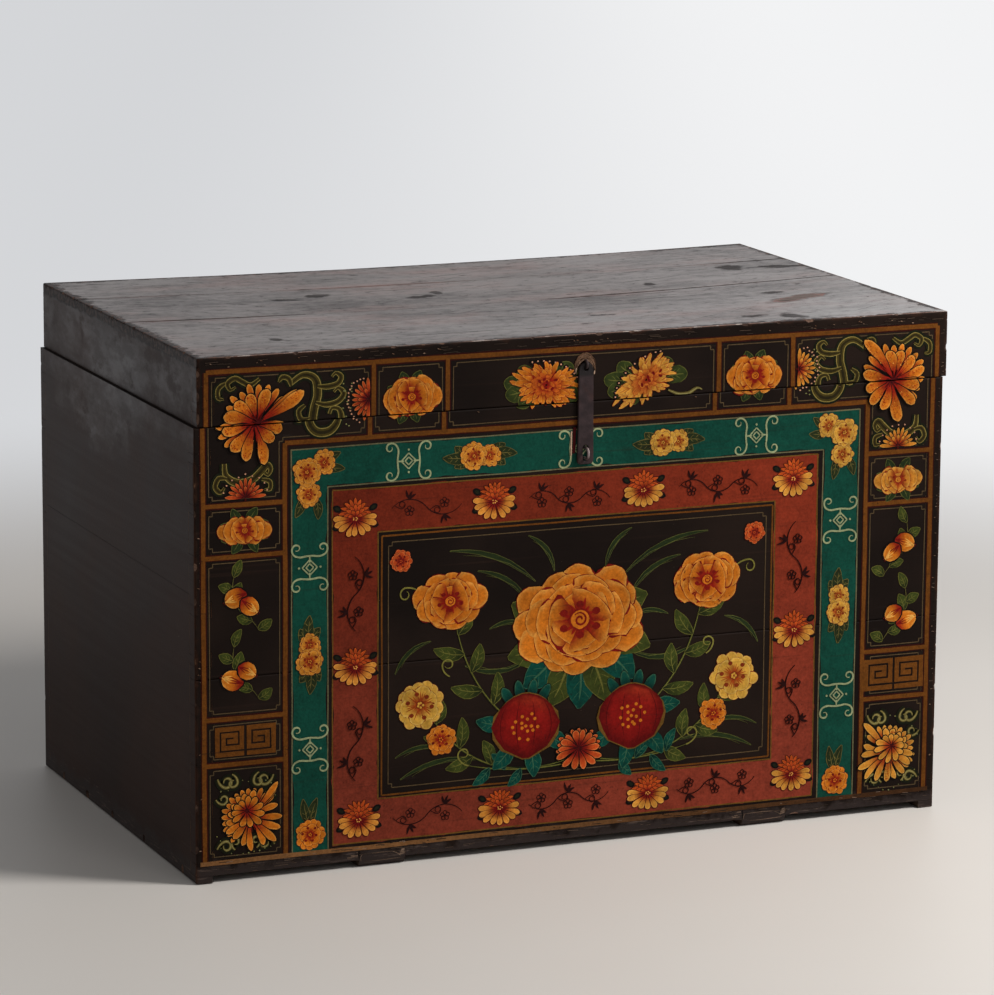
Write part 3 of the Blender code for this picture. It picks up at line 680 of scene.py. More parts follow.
def dress_boards():
    """Every wooden piece, eased, chipped and finished."""
    body_box = Vector((BODY_LOW.x, FRONT, 0)), Vector((BODY_HIGH.x, BACK, SEAM - SKIN))
    lid_top = TOP_HIGH - TOP_SKIN
    lid_box = Vector((SKIRT_LOW.x, FRONT, SKIRT_LOW.z + SKIN)), Vector((SKIRT_HIGH.x, BACK, lid_top))
    body_edges = Vector((BODY_LOW.x, FRONT, CHIP_FOOT)), Vector((BODY_HIGH.x, BACK, SEAM))
    lid_edges = SKIRT_LOW, Vector((SKIRT_HIGH.x, BACK, TOP_HIGH))
    body_chips = chip_cutter("body_chips", corner_edges(*body_edges, 9, 9, 5, False), 5)
    lid_chips = chip_cutter("lid_chips", corner_edges(*lid_edges, 3, 24, 14, True), 8)
    body_finishes = (BODY_LACQUER_X, BODY_LACQUER_Y, BODY_LACQUER_X)
    lid_finishes = (LID_LACQUER_X, LID_LACQUER_Y, LID_LACQUER_X)
    top_finishes = (LID_LACQUER_X, LID_LACQUER_Y, TOP_LACQUER)
    for side, wood in (("front", WOOD_X), ("back", WOOD_X), ("left", WOOD_Y), ("right", WOOD_Y)):
        for level in ("lower", "upper"):
            plank = f"{side}_{level}_plank"
            worn_board(plank, "trunk", "painted_lacquer", body_finishes, wood, body_box, body_chips)
        worn_board(f"lid_{side}_skirt", "lid", "painted_lacquer", lid_finishes, wood, lid_box, lid_chips)
    for side in ("left", "right"):
        worn_board(f"skid_{side}", "trunk", "bare_wood", body_finishes, WOOD_Y, body_box)
        worn_board(f"lid_batten_{side}", "lid", "bare_wood", (WOOD_Y,) * 3, WOOD_Y, lid_box)
    for place in ("front", "middle", "back"):
        worn_board(f"top_plank_{place}", "lid", "top_lacquer", top_finishes, WOOD_X, lid_box, lid_chips)
        worn_board(f"bottom_plank_{place}", "trunk", "bare_wood", (WOOD_X,) * 3, WOOD_X, body_box)
    for cutter in (body_chips, lid_chips):
        bpy.data.objects.remove(cutter)
    fill_seams()
    fill_rim()


def fill_rim():
    """Lacquer that bridges the joints between the top's planks and the skirts, on all four sides."""
    work = bmesh.new()
    left, right = SKIRT_LOW.x - RIM_PROUD, SKIRT_HIGH.x + RIM_PROUD
    front, back = FRONT - RIM_PROUD, BACK + RIM_PROUD
    inset = EDGE_EASE * 1.5
    low, high = SKIRT_HIGH.z - RIM_LAP, SKIRT_HIGH.z + RIM_HEIGHT
    strips = [((x, front + inset), (x, back - inset), low, high) for x in (left, right)]
    strips += [((left + inset, y), (right - inset, y), low, high) for y in (front, back)]
    for node in TOP_SEAMS:
        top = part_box(node)[1].z - SEAM_DEPTH
        for x, seam in zip((left, right), seam_ends(node)):
            strips.append(((x, seam - SEAM_DEPTH), (x, seam + SEAM_DEPTH), high, top))
    middle = Vector((LID_MIDDLE, 0, 0))
    for start, end, foot, head in strips:
        outer = [Vector((*place, z)) for place, z in ((start, foot), (end, foot), (end, head), (start, head))]
        across = 0 if start[0] == end[0] else 1
        sink = Vector((0, 0, 0))
        sink[across] = math.copysign(RIM_DEPTH, middle[across] - outer[0][across])
        faces = [[work.verts.new(corner + sink * share) for corner in outer] for share in (0, 1)]
        work.faces.new(faces[0])
        work.faces.new(faces[1])
        for k in range(4):
            work.faces.new((faces[0][k], faces[0][(k + 1) % 4], faces[1][(k + 1) % 4], faces[1][k]))
    bmesh.ops.recalc_face_normals(work, faces=work.faces)
    for face in work.faces:
        face.material_index = 1 if abs(face.normal.x) > 0.7 else 0
    mesh = mesh_of("lid_rim_fill", work)
    new_piece("lid_rim_fill", mesh, (LID_LACQUER_X, LID_LACQUER_Y), "lid")


def seam_rims(node):
    """Places along the back edge of a plank of the top, apart from its ends."""
    columns = {}
    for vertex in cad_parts[node].data.vertices:
        columns.setdefault(round(vertex.co.x, 3), []).append(vertex.co)
    rims = []
    for x in sorted(columns):
        edge = max(place.y for place in columns[x])
        near = [place.z for place in columns[x] if place.y > edge - SEAM_DEPTH]
        if abs(x - LID_MIDDLE) < HALF_WIDTH - FILL_CLEAR:
            rims.append((x, edge, max(near)))
    return rims


def fill_seams():
    """Old dirt and lacquer in the grooves between the top's planks, deep in places and level in others."""
    pick = random.Random(21)
    work = bmesh.new()
    for node, (left_open, right_open) in TOP_SEAMS.items():
        rims = seam_rims(node)
        rows = []
        for rim, following in zip(rims, rims[1:]):
            count = int((following[0] - rim[0]) / FILL_STEP)
            for place in range(count):
                across, edge, level = mixed(rim, following, place / count)
                opened = 0.6 * eased(-across, -left_open, SEAM_OPENING - left_open)
                opened = max(eased(across, right_open, right_open + SEAM_OPENING), opened)
                depth = FILL_SINK * opened * pick.uniform(0.25, 1.0) - FILL_PROUD * (1 - opened)
                lip = SEAM_ROUND - max(depth, 0)
                half = SEAM_ROUND - math.sqrt(SEAM_ROUND ** 2 - lip ** 2) + FILL_LAP
                middle, floor = edge + FILL_SHIFT, level - SEAM_DEPTH
                spots = (middle - half, level - depth), (middle + half, level - depth), (middle, floor)
                rows.append(([work.verts.new((across, *spot)) for spot in spots], opened > 0.25))
        for (first, dirty), (second, _) in zip(rows, rows[1:]):
            for k in range(3):
                face = work.faces.new((first[k], first[(k + 1) % 3], second[(k + 1) % 3], second[k]))
                face.material_index = 1 if dirty else 0
        work.faces.new(rows[0][0])
        work.faces.new(rows[-1][0])
    bmesh.ops.recalc_face_normals(work, faces=work.faces)
    mesh = mesh_of("top_seam_fill", work)
    new_piece("top_seam_fill", mesh, (TOP_LACQUER, BODY_LACQUER_X), "lid")


def polar(origin, degrees, reach, squash=1.0):
    """A place at an angle and a distance from origin, squashed in height."""
    angle = math.radians(degrees)
    return origin[0] + math.cos(angle) * reach, origin[1] + math.sin(angle) * reach * squash


def heading_to(start, end):
    """The way from start to end, in degrees."""
    return math.degrees(math.atan2(end[1] - start[1], end[0] - start[0]))


def leftward(start, end):
    """The way across a line, on its left."""
    length = math.dist(start, end) or 1
    return (start[1] - end[1]) / length, (end[0] - start[0]) / length


def beside(start, end, share, off):
    """A place at a share of the way from start to end, and off it on the left."""
    return tuple(a + (b - a) * share + s * off for a, b, s in zip(start, end, leftward(start, end)))


def toward(start, end, reach):
    """A place at a distance from start, on the way to end."""
    return mixed(start, end, reach / math.dist(start, end))


def bowed(bow, length, share):
    """How far a bowed line stands off at a share of its way."""
    return bow * length * 4 * share * (1 - share)


def flow(start, heading, length, turns, step=2.0):
    """A curve that leaves start on a heading and turns by each of turns, in degrees, over equal lengths."""
    count = max(6, int(length / step))
    points = [start]
    for place in range(count):
        turn = turns[min(int((place + 0.5) / count * len(turns)), len(turns) - 1)]
        heading += turn * len(turns) / count
        points.append(polar(points[-1], heading, length / count))
    return points


def through(points, step=2.0):
    """A smooth curve through points."""
    path = []
    last = len(points) - 1
    for number in range(last):
        ends = points[max(number - 1, 0)], points[number], points[number + 1], points[min(number + 2, last)]
        count = max(2, int(math.dist(ends[1], ends[2]) / step))
        for place in range(count):
            t = place / count
            path.append(tuple(
                b + 0.5 * t * ((c - a) + t * ((2 * a - 5 * b + 4 * c - d) + t * (3 * b - a - 3 * c + d)))
                for a, b, c, d in zip(*ends)
            ))
    return path + [points[-1]]


class Painting:
    """Brush work on the front, in millimetres, kept as a sheet of strokes for each area."""

    def __init__(self, seed):
        self.pick = random.Random(seed)
        self.sheets = {}
        self.area = None
        self.depth = 0.0

    def start(self, area):
        """Start on an area, whose strokes become pieces of their own."""
        self.area = area
        self.sheets[area] = ([], [], [], [])

    def layer(self, number):
        """Start on a layer; later strokes on it lie a little further out."""
        self.depth = PAINT_GROUND + number * PAINT_LAYER

    def lay(self, rows, tone, rise=True):
        """One stroke: rows of points along it, each row across it. tone is a colour, or gives one for a place
        on it. Strokes that don't cross each other need no rise."""
        if rise:
            self.depth += PAINT_STROKE
        hand = self.pick.random()
        points, tones, brush, faces = self.sheets[self.area]
        first = len(points)
        wide = len(rows[0])
        run = 0.0
        for number, row in enumerate(rows):
            if number:
                run += math.dist(row[wide // 2], rows[number - 1][wide // 2])
            for column, (x, z) in enumerate(row):
                across = 2 * column / (wide - 1) - 1
                colour = tone(across, number / (len(rows) - 1)) if callable(tone) else tone
                points.append((x * MM, FRONT - self.depth, z * MM))
                tones.append((*colour, 1))
                brush.append((across, run, hand))
        for number in range(len(rows) - 1):
            for column in range(wide - 1):
                corner = first + number * wide + column
                faces.append((corner, corner + 1, corner + 1 + wide, corner + wide))

    def sheet(self, area, upper):
        """The strokes of an area above or below the seam, as thin closed shells."""
        points, tones, strokes, faces = self.sheets[area]
        work = bmesh.new()
        tone = work.verts.layers.float_color.new("tone")
        brush = work.verts.layers.float_vector.new("brush")
        corners = []
        for point, colour, stroke in zip(points, tones, strokes):
            corner = work.verts.new(point)
            corner[tone] = colour
            corner[brush] = stroke
            corners.append(corner)
        for face in faces:
            work.faces.new([corners[number] for number in face])
        level = SKIRT_LOW.z + PAINT_CLEAR if upper else SEAM - PAINT_CLEAR
        bmesh.ops.bisect_plane(
            work, geom=work.verts[:] + work.edges[:] + work.faces[:],
            plane_co=(0, 0, level), plane_no=(0, 0, 1),
            clear_outer=not upper, clear_inner=upper,
        )
        backs = bmesh.ops.extrude_face_region(work, geom=work.faces[:], use_keep_orig=True)["geom"]
        for corner in backs:
            if isinstance(corner, bmesh.types.BMVert):
                corner.co.y = FRONT + PAINT_ROOT
        if upper:
            bmesh.ops.translate(work, verts=work.verts, vec=(LID_SHIFT, 0, 0))
        bmesh.ops.recalc_face_normals(work, faces=work.faces)
        return mesh_of(f"lid_{area}" if upper else f"front_{area}", work)


art = Painting(11)
vary = art.pick.uniform


def row(place, side, half, columns=(-1, 0, 1)):
    """A row of points across a stroke."""
    return [(place[0] + side[0] * half * k, place[1] + side[1] * half * k) for k in columns]


def ribbon(path, width, tone, ends=(0.35, 0.35)):
    """A brush line along a path, thinner at its ends."""
    rows = []
    last = len(path) - 1
    for number, place in enumerate(path):
        side = leftward(path[max(number - 1, 0)], path[min(number + 1, last)])
        share = number / last
        lead = ends[0] + (1 - ends[0]) * eased(share, 0, 0.3)
        trail = ends[1] + (1 - ends[1]) * eased(1 - share, 0, 0.3)
        rows.append(row(place, side, width / 2 * lead * trail))
    art.lay(rows, tone)


def rule(start, end, width, tone, wander=0.22):
    """A straight painted line with the small unevenness of a hand."""
    length = math.dist(start, end)
    count = max(2, int(length / 14))
    side = leftward(start, end)
    beat = vary(0, 6)
    rows = []
    for number in range(count + 1):
        share = number / count
        sway = wander * math.sin(beat + share * length / 31) + vary(-0.3, 0.3) * wander
        half = width / 2 * (1 + vary(-0.07, 0.07))
        rows.append(row(beside(start, end, share, sway), side, half))
    art.lay(rows, tone)


def blade(root, tip, width, fullness, bow=0.0, grow=0.0, blunt=0.5, frill=0.06):
    """Rows of points over a petal or leaf. Fullness over 1 moves its widest place outwards, and a low blunt
    rounds its tip."""
    length = math.dist(root, tip)
    ahead = (tip[0] - root[0]) / length, (tip[1] - root[1]) / length
    side = -ahead[1], ahead[0]
    shares, columns = (THIN_SHARES, THIN_COLUMNS) if width < THIN else (BLADE_SHARES, BLADE_COLUMNS)
    rows = []
    for share in shares:
        half = max(width / 2 * math.sin(math.pi * share ** fullness) ** blunt, width * 0.05)
        half = half * vary(1 - frill, 1 + frill) + grow
        reach = (length + 2 * grow) * share - grow
        off = bowed(bow, length, share)
        place = tuple(r + a * reach + s * off for r, a, s in zip(root, ahead, side))
        rows.append(row(place, side, half, columns))
    return rows


def petal(root, tip, width, tones, fullness=1.8, bow=0.0, deep=0.4, outline=BLACK, grow=0.5, frill=0.06):
    """One petal: dark at its root for a share called deep, paler at its rim, on a dark outline."""
    base, body, rim = tones
    glow = vary(0.8, 1.08)

    def tone(across, along):
        colour = mixed(base, body, eased(along, deep * 0.35, deep + 0.2))
        edge = max(eased(along, 0.8, 1.0), abs(across) ** 4 * eased(along, 0.3, 0.7))
        return tuple(part * glow for part in mixed(colour, rim, 0.7 * edge))

    for spread, colour in ((grow, outline), (0.0, tone)):
        art.lay(blade(root, tip, width, fullness, bow, spread, 0.5, frill), colour)


def streaks(root, tip, width, tone, count=3, share=0.55):
    """Thin strokes that spread from a petal's root."""
    for number in range(count):
        off = (number - (count - 1) / 2) * width * 0.62 / count
        end = beside(root, tip, share * vary(0.75, 1.1), off)
        art.lay(blade(root, end, max(0.5, width * 0.085), 0.9), tone)


def leaf(root, tip, width, tones=MOSS, bow=0.08, veins=3, blunt=0.75):
    """One leaf with a pale outline, a midrib and side veins."""
    base, body, rim = tones
    dull = mixed(body, rim, 0.6)

    def tone(across, along):
        lit = mixed(base, body, eased(along, 0.0, 0.45))
        return mixed(lit, base, 0.6 * (1 - abs(across)) * eased(along, 0.3, 1))

    for spread, colour in ((0.4, dull), (0.0, tone)):
        art.lay(blade(root, tip, width, 0.9, bow, spread, blunt), colour)
    art.lay(blade(root, mixed(root, tip, 0.85), max(0.6, width * 0.07), 1.0, bow), dull)
    length, heading = math.dist(root, tip), heading_to(root, tip)
    for number in range(veins):
        share = 0.25 + 0.2 * number
        middle = polar(mixed(root, tip, share), heading + 90, bowed(bow, length, share))
        for side in (-1, 1):
            near = polar(middle, heading + side * 90, 0.5)
            far = polar(near, heading + side * 42, width * 0.4)
            art.lay(blade(near, far, 0.6, 1.0, 0.05 * side), dull, number == 0)


def stem(path, width=1.8, tones=MOSS):
    """A drawn stem: a dark line with a paler one on it."""
    ribbon(path, width + 0.8, tones[0])
    ribbon(path, width * 0.6, mixed(tones[1], tones[2], 0.6))


def scroll(path, width):
    """A curling tube of foliage, with pale edges and a dark line. A slim one is a stroke lit along it."""
    if width < SLIM_SCROLL:
        ribbon(path, width * 0.95, mixed(SCROLL[1], SCROLL[2], 0.4), (0.6, 0.4))
        ribbon(path, width * 0.34, mixed(SCROLL[2], CREAM, 0.3), (0.4, 0.3))
    else:
        ribbon(path, width * 1.12, SCROLL[2], (0.6, 0.4))
        ribbon(path, width * 0.9, SCROLL[1], (0.55, 0.35))
        ribbon(path, width * 0.38, SCROLL[0], (0.3, 0.2))


def scrolls(curls):
    """Curls with their widths, on a dark green haze."""
    for path, width in curls:
        ribbon(path, width + 6, HAZE, (0.8, 0.6))
    for path, width in curls:
        scroll(path, width)


def oval(centre, wide, high, tone, turn=0.0):
    """A rounded patch."""
    ends = [polar(centre, 90 + turn, reach) for reach in (-high, high)]
    art.lay(blade(*ends, wide * 2, 1.0), tone)


def dots(centre, reach, count, size, tone, squash=1.0):
    """Small touches of paint scattered round a place."""
    for number in range(count):
        angle = 360 * number / count + vary(-12, 12)
        oval(polar(centre, angle, reach * vary(0.6, 1.0), squash), size, size, tone)


def stipple(root, tip, width, count, tone):
    """Small touches over the outer part of a petal."""
    for _ in range(count):
        place = beside(root, tip, vary(0.42, 0.92), vary(-0.32, 0.32) * width)
        size = vary(0.4, 0.8)
        oval(place, size, size, tone)


def fanned(way, span, count):
    """Angles spread evenly over a span about a way."""
    return [way + (place / (count - 1) - 0.5) * span for place in range(count)]


def facing(way, angle):
    """An angle, mirrored where way is -1."""
    return angle if way > 0 else 180 - angle


def agreement(angle, way):
    """1 for an angle along a way and -1 against it."""
    return math.cos(math.radians(angle - way))


def chrysanthemum(heart, radius, away, count, squash, tones, fringe, long_way=None, short_way=None):
    """Club petals about a red heart, shorter on the side called away, which has a fringe behind them."""
    for angle in fanned(away, 190, fringe):
        tip = polar(heart, angle, radius * vary(0.82, 0.92), squash)
        petal(polar(heart, angle, radius * 0.3), tip, radius * 0.15, tones, 2.2, 0, 0.6, BLACK, 0.8)
    angles = [away + 360 * (place + 0.5 + vary(-0.09, 0.09)) / count for place in range(count)]
    for angle in sorted(angles, key=lambda angle: -agreement(angle, away)):
        reach = radius * (0.86 - 0.14 * agreement(angle, away)) * vary(0.9, 1.1)
        if long_way is not None and agreement(angle, long_way) > math.cos(math.pi / count):
            angle = long_way
            reach = radius * 1.28
        elif short_way is not None and agreement(angle, short_way) > 0.82:
            reach *= 0.7
        root, tip = polar(heart, angle, radius * 0.04), polar(heart, angle, reach, squash)
        width = radius * vary(3.0, 3.7) / count
        petal(root, tip, width, tones, 2.3, vary(-0.06, 0.06), 0.36, BLACK, 0.9)
        streaks(root, tip, width, tones[0], 3, 0.5)
        if width > 8:
            stipple(root, tip, width, 26, mixed(tones[0], tones[1], 0.2))
            stipple(root, tip, width, 2, mixed(tones[1], tones[2], 0.6))
    for place in range(11):
        angle = 360 * place / 11 + vary(-8, 8)
        art.lay(blade(heart, polar(heart, angle, radius * vary(0.14, 0.26)), radius * 0.03, 1.0), MAROON)


def fan(centre, radius, way, tones, beads):
    """Half of a flower of narrow spaced petals, with two long petals at its foot and pale beads about it."""
    for side in (-1, 1):
        tip = polar(centre, way + side * 87, radius * 1.08)
        petal(centre, tip, radius * 0.19, tones, 1.6, 0, 0.3, BLACK, 0.4)
    for count, reach in ((9, 0.96), (5, 0.6)):
        for angle in fanned(way, 140, count):
            tip = polar(centre, angle, radius * reach * vary(0.92, 1.04))
            petal(polar(centre, angle, radius * 0.1), tip, radius * 0.155, tones, 2.1, 0, 0.5)
    for angle in fanned(way, 150, beads):
        oval(polar(centre, angle, radius * vary(1.08, 1.2)), 0.9, 0.8, PEARL)
    dots(centre, radius * 0.12, 4, radius * 0.05, MAROON)


def blossom(centre, radius, turn, tones, count=6):
    """An open flower: a frill of small lobes, round petals with red streaks on it and a dotted heart."""
    shade = mixed(MAROON, tones[0], 0.5)
    lobes = 2 * count + 1
    for place in range(lobes):
        angle = turn + 360 * (place + vary(-0.2, 0.2)) / lobes
        tip = polar(centre, angle, radius * vary(0.9, 1.1))
        petal(polar(centre, angle, radius * 0.35), tip, radius * 0.52, tones, 1.5, 0, 0.2, shade, 0.3, 0.1)
    for place in range(count):
        angle = turn + 360 * place / count + vary(-8, 8)
        root, tip = (polar(centre, angle, radius * share) for share in (0.04, vary(0.74, 0.86)))
        petal(root, tip, radius * 4.2 / count, tones, 1.5, 0, 0.24, shade, 0.3, 0.13)
        streaks(root, tip, radius * 0.55, tones[0], 3, 0.7)
    for place in range(count):
        spot = polar(centre, turn + 360 * (place + 0.5) / count, radius * vary(0.4, 0.56))
        oval(spot, radius * 0.1, radius * 0.09, shade)
    oval(centre, radius * 0.2, radius * 0.18, shade)
    dots(centre, radius * 0.13, 5, radius * 0.05, tones[1])


def peony(centre, wide, high, tones, outer, rings=3):
    """A crowded flower: frilled lobes in rings, red hollows between them and a small whorl in the middle."""
    mean = math.sqrt(wide * high) / 2
    hollow = mixed(MAROON, tones[0], 0.65)
    rim = mixed(MAROON, tones[0], 0.6)

    def at(angle, reach):
        out = polar((0, 0), angle, reach)
        return centre[0] + out[0] * wide / 2, centre[1] + out[1] * high / 2

    for ring in range(rings):
        reach = 1 - ring * 0.72 / rings
        count = max(5, outer - 2 * ring)
        for place in range(count):
            angle = 90 + 360 * (place + 0.5 * (ring % 2)) / count + vary(-8, 8)
            far = reach * vary(0.92, 1.06)
            root, tip = at(angle, far * 0.12), at(angle, far)
            width = 7.2 / count * mean * (0.4 + 0.6 * reach)
            petal(root, tip, width, tones, 1.45, vary(-0.06, 0.06), 0.4, rim, 0.35, 0.12)
            streaks(root, tip, width * 0.8, tones[0], 3, 0.62)
        for place in range(count):
            angle = 90 + 360 * (place + 0.5 * (ring % 2) + 0.5) / count
            oval(at(angle, reach * 0.6), mean * 0.07, mean * 0.06, hollow)
    oval(centre, mean * 0.2, mean * 0.18, hollow)
    oval(centre, mean * 0.165, mean * 0.15, tones[1])
    coil = [polar(centre, angle, mean * (0.03 + 0.09 * angle / 500)) for angle in range(0, 501, 25)]
    ribbon(coil, mean * 0.035, hollow, (1, 0.5))


def fruit(centre, radius, blush):
    """A small oval fruit, dark at its stem, with pale and red strokes along it."""
    root, tip = polar(centre, blush + 180, radius), polar(centre, blush, radius)
    petal(root, tip, radius * 1.75, FLAME, 1.0, 0, 0.2, BLACK, 1.3)
    streaks(root, tip, radius * 1.3, EMBER[0], 3, 0.62)
    streaks(tip, root, radius * 1.5, FLAME[2], 4, 0.5)
    dots(tip, radius * 0.2, 4, 0.6, EMBER[0])


def key_fret(corner, size, way):
    """A close square spiral drawn from its outer corner inwards; way is 1 or -1 across."""
    unit = size / 4
    width = unit * 0.72
    lap = width / 2
    place = corner
    headings = ((way, 0), (0, 1), (-way, 0), (0, -1))
    for number, run in enumerate((4, 4, 4, 3, 3, 2, 2, 1, 1)):
        across, up = headings[number % 4]
        start = place[0] - across * lap, place[1] - up * lap
        place = place[0] + across * run * unit, place[1] + up * run * unit
        rule(start, (place[0] + across * lap, place[1] + up * lap), width, LINE_ORANGE, 0.08)


def curl_ornament(centre, upright):
    """Two curled brackets, back to back about a lozenge, in cream; upright turns them for the side bands."""

    def put(points):
        if upright:
            return [(centre[0] - z, centre[1] + x) for x, z in points]
        return [(centre[0] + x, centre[1] + z) for x, z in points]

    for side in (-1, 1):
        for rise in (-1, 1):
            path = flow((12.5, 0.0), 90, 44, (10, -40, -70, -110, -170), 1.2)
            ribbon(put([(x * side, z * rise) for x, z in path]), 1.9, CREAM, (1.0, 0.4))
        ribbon(put([(side * 5.5, 0), (side * 12.5, 0)]), 1.5, CREAM, (1, 1))
        oval(put([(0, side * 12)])[0], 1.2, 1.2, CREAM)
    for reach in (8.4, 4.2):
        for corner in range(4):
            ends = [polar((0, 0), 90 * corner + turn, reach) for turn in (0, 90)]
            ribbon(put(ends), 1.4, CREAM, (1, 1))


def ink_flower(centre, radius):
    """A small flower in outline."""
    for place in range(5):
        middle = polar(centre, 72 * place + 18, radius * 0.62)
        ring = [polar(middle, angle, radius * 0.42) for angle in range(0, 361, 30)]
        ribbon(ring, 0.7, INK, (1, 1))
    oval(centre, radius * 0.2, radius * 0.2, INK)


def ink_vine(centre, length, upright, lift=1):
    """Fine dark drawing on the red band: a waving vine with curls, leaves and small flowers."""
    ahead = 90 if upright else 0
    start = polar(centre, ahead + 180, length / 2)
    waves = max(2, round(length / 34))
    sides = [lift if wave % 2 == 0 else -lift for wave in range(waves)]
    path = flow(start, ahead + 50 * lift, length * 1.16, [-100 * side for side in sides], 1.5)
    ribbon(path, 1.0, INK, (0.5, 0.5))
    for wave, side in enumerate(sides):
        crest, foot = (path[int((wave + share) / waves * (len(path) - 1))] for share in (0.5, 0.12))
        curl = flow(foot, ahead - side * 40, 34, [side * turn for turn in (20, 120, 150, 170)], 1.1)
        ribbon(curl, 0.8, INK, (0.8, 0.35))
        for turn, reach in ((70, 9), (110, 11), (35, 8)):
            tip = polar(crest, ahead + side * turn, reach * vary(0.9, 1.2))
            art.lay(blade(crest, tip, 2.9, 0.9, 0.08 * side, 0, 0.8), INK)
        ink_flower(polar(crest, ahead - side * 90, 12.5), 5.2)


def shaggy(centre, length, height, tilt, beaded, tones):
    """A loose flower on a slant: rings of ragged narrow petals, redder in the middle, and beads on a side."""
    sine, cosine = math.sin(math.radians(tilt)), math.cos(math.radians(tilt))

    def at(angle, reach):
        x, z = polar((0, 0), angle, reach)
        x, z = x * length / 2, z * height / 2
        return centre[0] + x * cosine - z * sine, centre[1] + x * sine + z * cosine

    for place in range(13):
        spot = at(beaded + (place - 6) * 10, 1.02)
        oval(spot, 2.8, 2.4, BLACK)
        oval(spot, 1.0, 0.9, PEARL)
    glow = tones[0], mixed(EMBER[1], tones[1], 0.4), tones[1]
    for count, reach, kind in ((34, 1.0, tones), (27, 0.76, tones), (19, 0.5, glow), (9, 0.26, glow)):
        for place in range(count):
            angle = 360 * (place + vary(-0.3, 0.3)) / count
            far = reach * vary(0.82, 1.1)
            tip = at(angle + vary(-8, 8), far)
            width = height * vary(0.08, 0.12)
            petal(at(angle, far * 0.2), tip, width, kind, 1.5, vary(-0.12, 0.12), 0.4, kind[0], 0.3, 0.2)
    for _ in range(6):
        oval(at(vary(0, 360), vary(0.1, 0.5)), 2.4, 1.5, EMBER[0], vary(0, 180))


def rosette(centre, radius=24.0):
    """A flower of the red band: dark lobes, a domed crown of narrow petals above and rays below."""
    art.layer(4)
    for across, up, turn in ((-0.84, 0.46, 60), (0.84, 0.44, -60), (-0.86, -0.36, 110), (0.88, -0.32, 70)):
        lobe = centre[0] + across * radius, centre[1] + up * radius
        oval(lobe, radius * 0.15, radius * 0.22, SOOT[0], turn)
        oval(lobe, radius * 0.07, radius * 0.12, SOOT[1], turn)
    heart = centre[0], centre[1] - radius * 0.03
    crown = EMBER[0], EMBER[1], FLAME[1]
    for count, reach in ((9, 0.9), (7, 0.66), (4, 0.42)):
        for angle in fanned(90, 150, count):
            out = polar((0, 0), angle, radius * reach * vary(0.93, 1.05))
            tip = heart[0] + out[0] * 0.88, heart[1] + out[1]
            petal(heart, tip, radius * 0.15, crown, 2.0, 0.16 * agreement(angle, 0), 0.46, MAROON)
    rays = FLAME[0], mixed(FLAME[1], FLAME[2], 0.35), FLAME[2]
    rays = blend(rays, BUTTER, 0.1 if centre[0] < 0 else 0.4)
    for place in (0, 8, 1, 7, 2, 6, 3, 5, 4):
        angle = 174 + 192 * (place + vary(-0.15, 0.15)) / 8
        tip = polar(heart, angle, radius * vary(0.94, 1.06), 0.8)
        root = polar(heart, angle, radius * 0.1)
        petal(root, tip, radius * 0.27, rays, 2.5, 0, 0.34, MAROON, 0.65)
        streaks(root, tip, radius * 0.2, EMBER[0], 2, 0.5)
    oval(heart, radius * 0.15, radius * 0.09, EMBER[0])
    dots(heart, radius * 0.12, 5, radius * 0.03, FLAME[2], 0.7)


def teal_tones(x):
    """The flowers of the teal band are oranger on the left."""
    return blend(FLAME, BUTTER, 0.35 if x < 0 else 0.85)


def twin_blossom(centre, upright):
    """Two flowers of the teal band between leaves."""
    ahead = 90 if upright else 0
    art.layer(4)
    for way in (0, 180):
        for spread in (-34, 34, 0):
            root = polar(centre, ahead + way, 12)
            leaf(root, polar(root, ahead + way + spread, 30 - abs(spread) * 0.3), 12, BRONZE, 0.06, 3)
    art.layer(6)
    blossom(polar(centre, ahead, 11.0), 12.5, 40, teal_tones(centre[0]), 5)
    art.layer(8)
    blossom(polar(centre, ahead, -7.0), 15.0, 8, teal_tones(centre[0]))


def hairline_frame(corners):
    """A thin line round a cell, stepped in at its corners."""
    art.layer(2)
    for number, corner in enumerate(corners):
        following = corners[(number + 1) % len(corners)]
        start, end = toward(corner, following, HAIRLINE_STEP), toward(following, corner, HAIRLINE_STEP)
        back = toward(corner, corners[number - 1], HAIRLINE_STEP)
        inner = start[0] + back[0] - corner[0], start[1] + back[1] - corner[1]
        rule(start, end, HAIRLINE, LINE_GREY, 0.15)
        rule(start, inner, HAIRLINE, LINE_GREY, 0.05)
        rule(inner, back, HAIRLINE, LINE_GREY, 0.05)


def fading(first, second):
    """A tone that changes along a stroke."""
    return lambda across, along: mixed(first, second, eased(along, 0.05, 0.95))


def box_corners(left, right, foot, head):
    return [(left, foot), (right, foot), (right, head), (left, head)]


def gate(left, right, foot, head, drop=0.0):
    """Two uprights, and the beam between them at their heads or a drop below."""
    beam = head - drop
    return [((left, foot), (left, head)), ((right, foot), (right, head)), ((left, beam), (right, beam))]


def rules(lines, width, tone):
    """A painted line along each of lines."""
    for start, end in lines:
        rule(start, end, width, tone)


def outline(corners, width, tone):
    """Painted lines from corner to corner."""
    rules(zip(corners, corners[1:] + corners[:1]), width, tone)


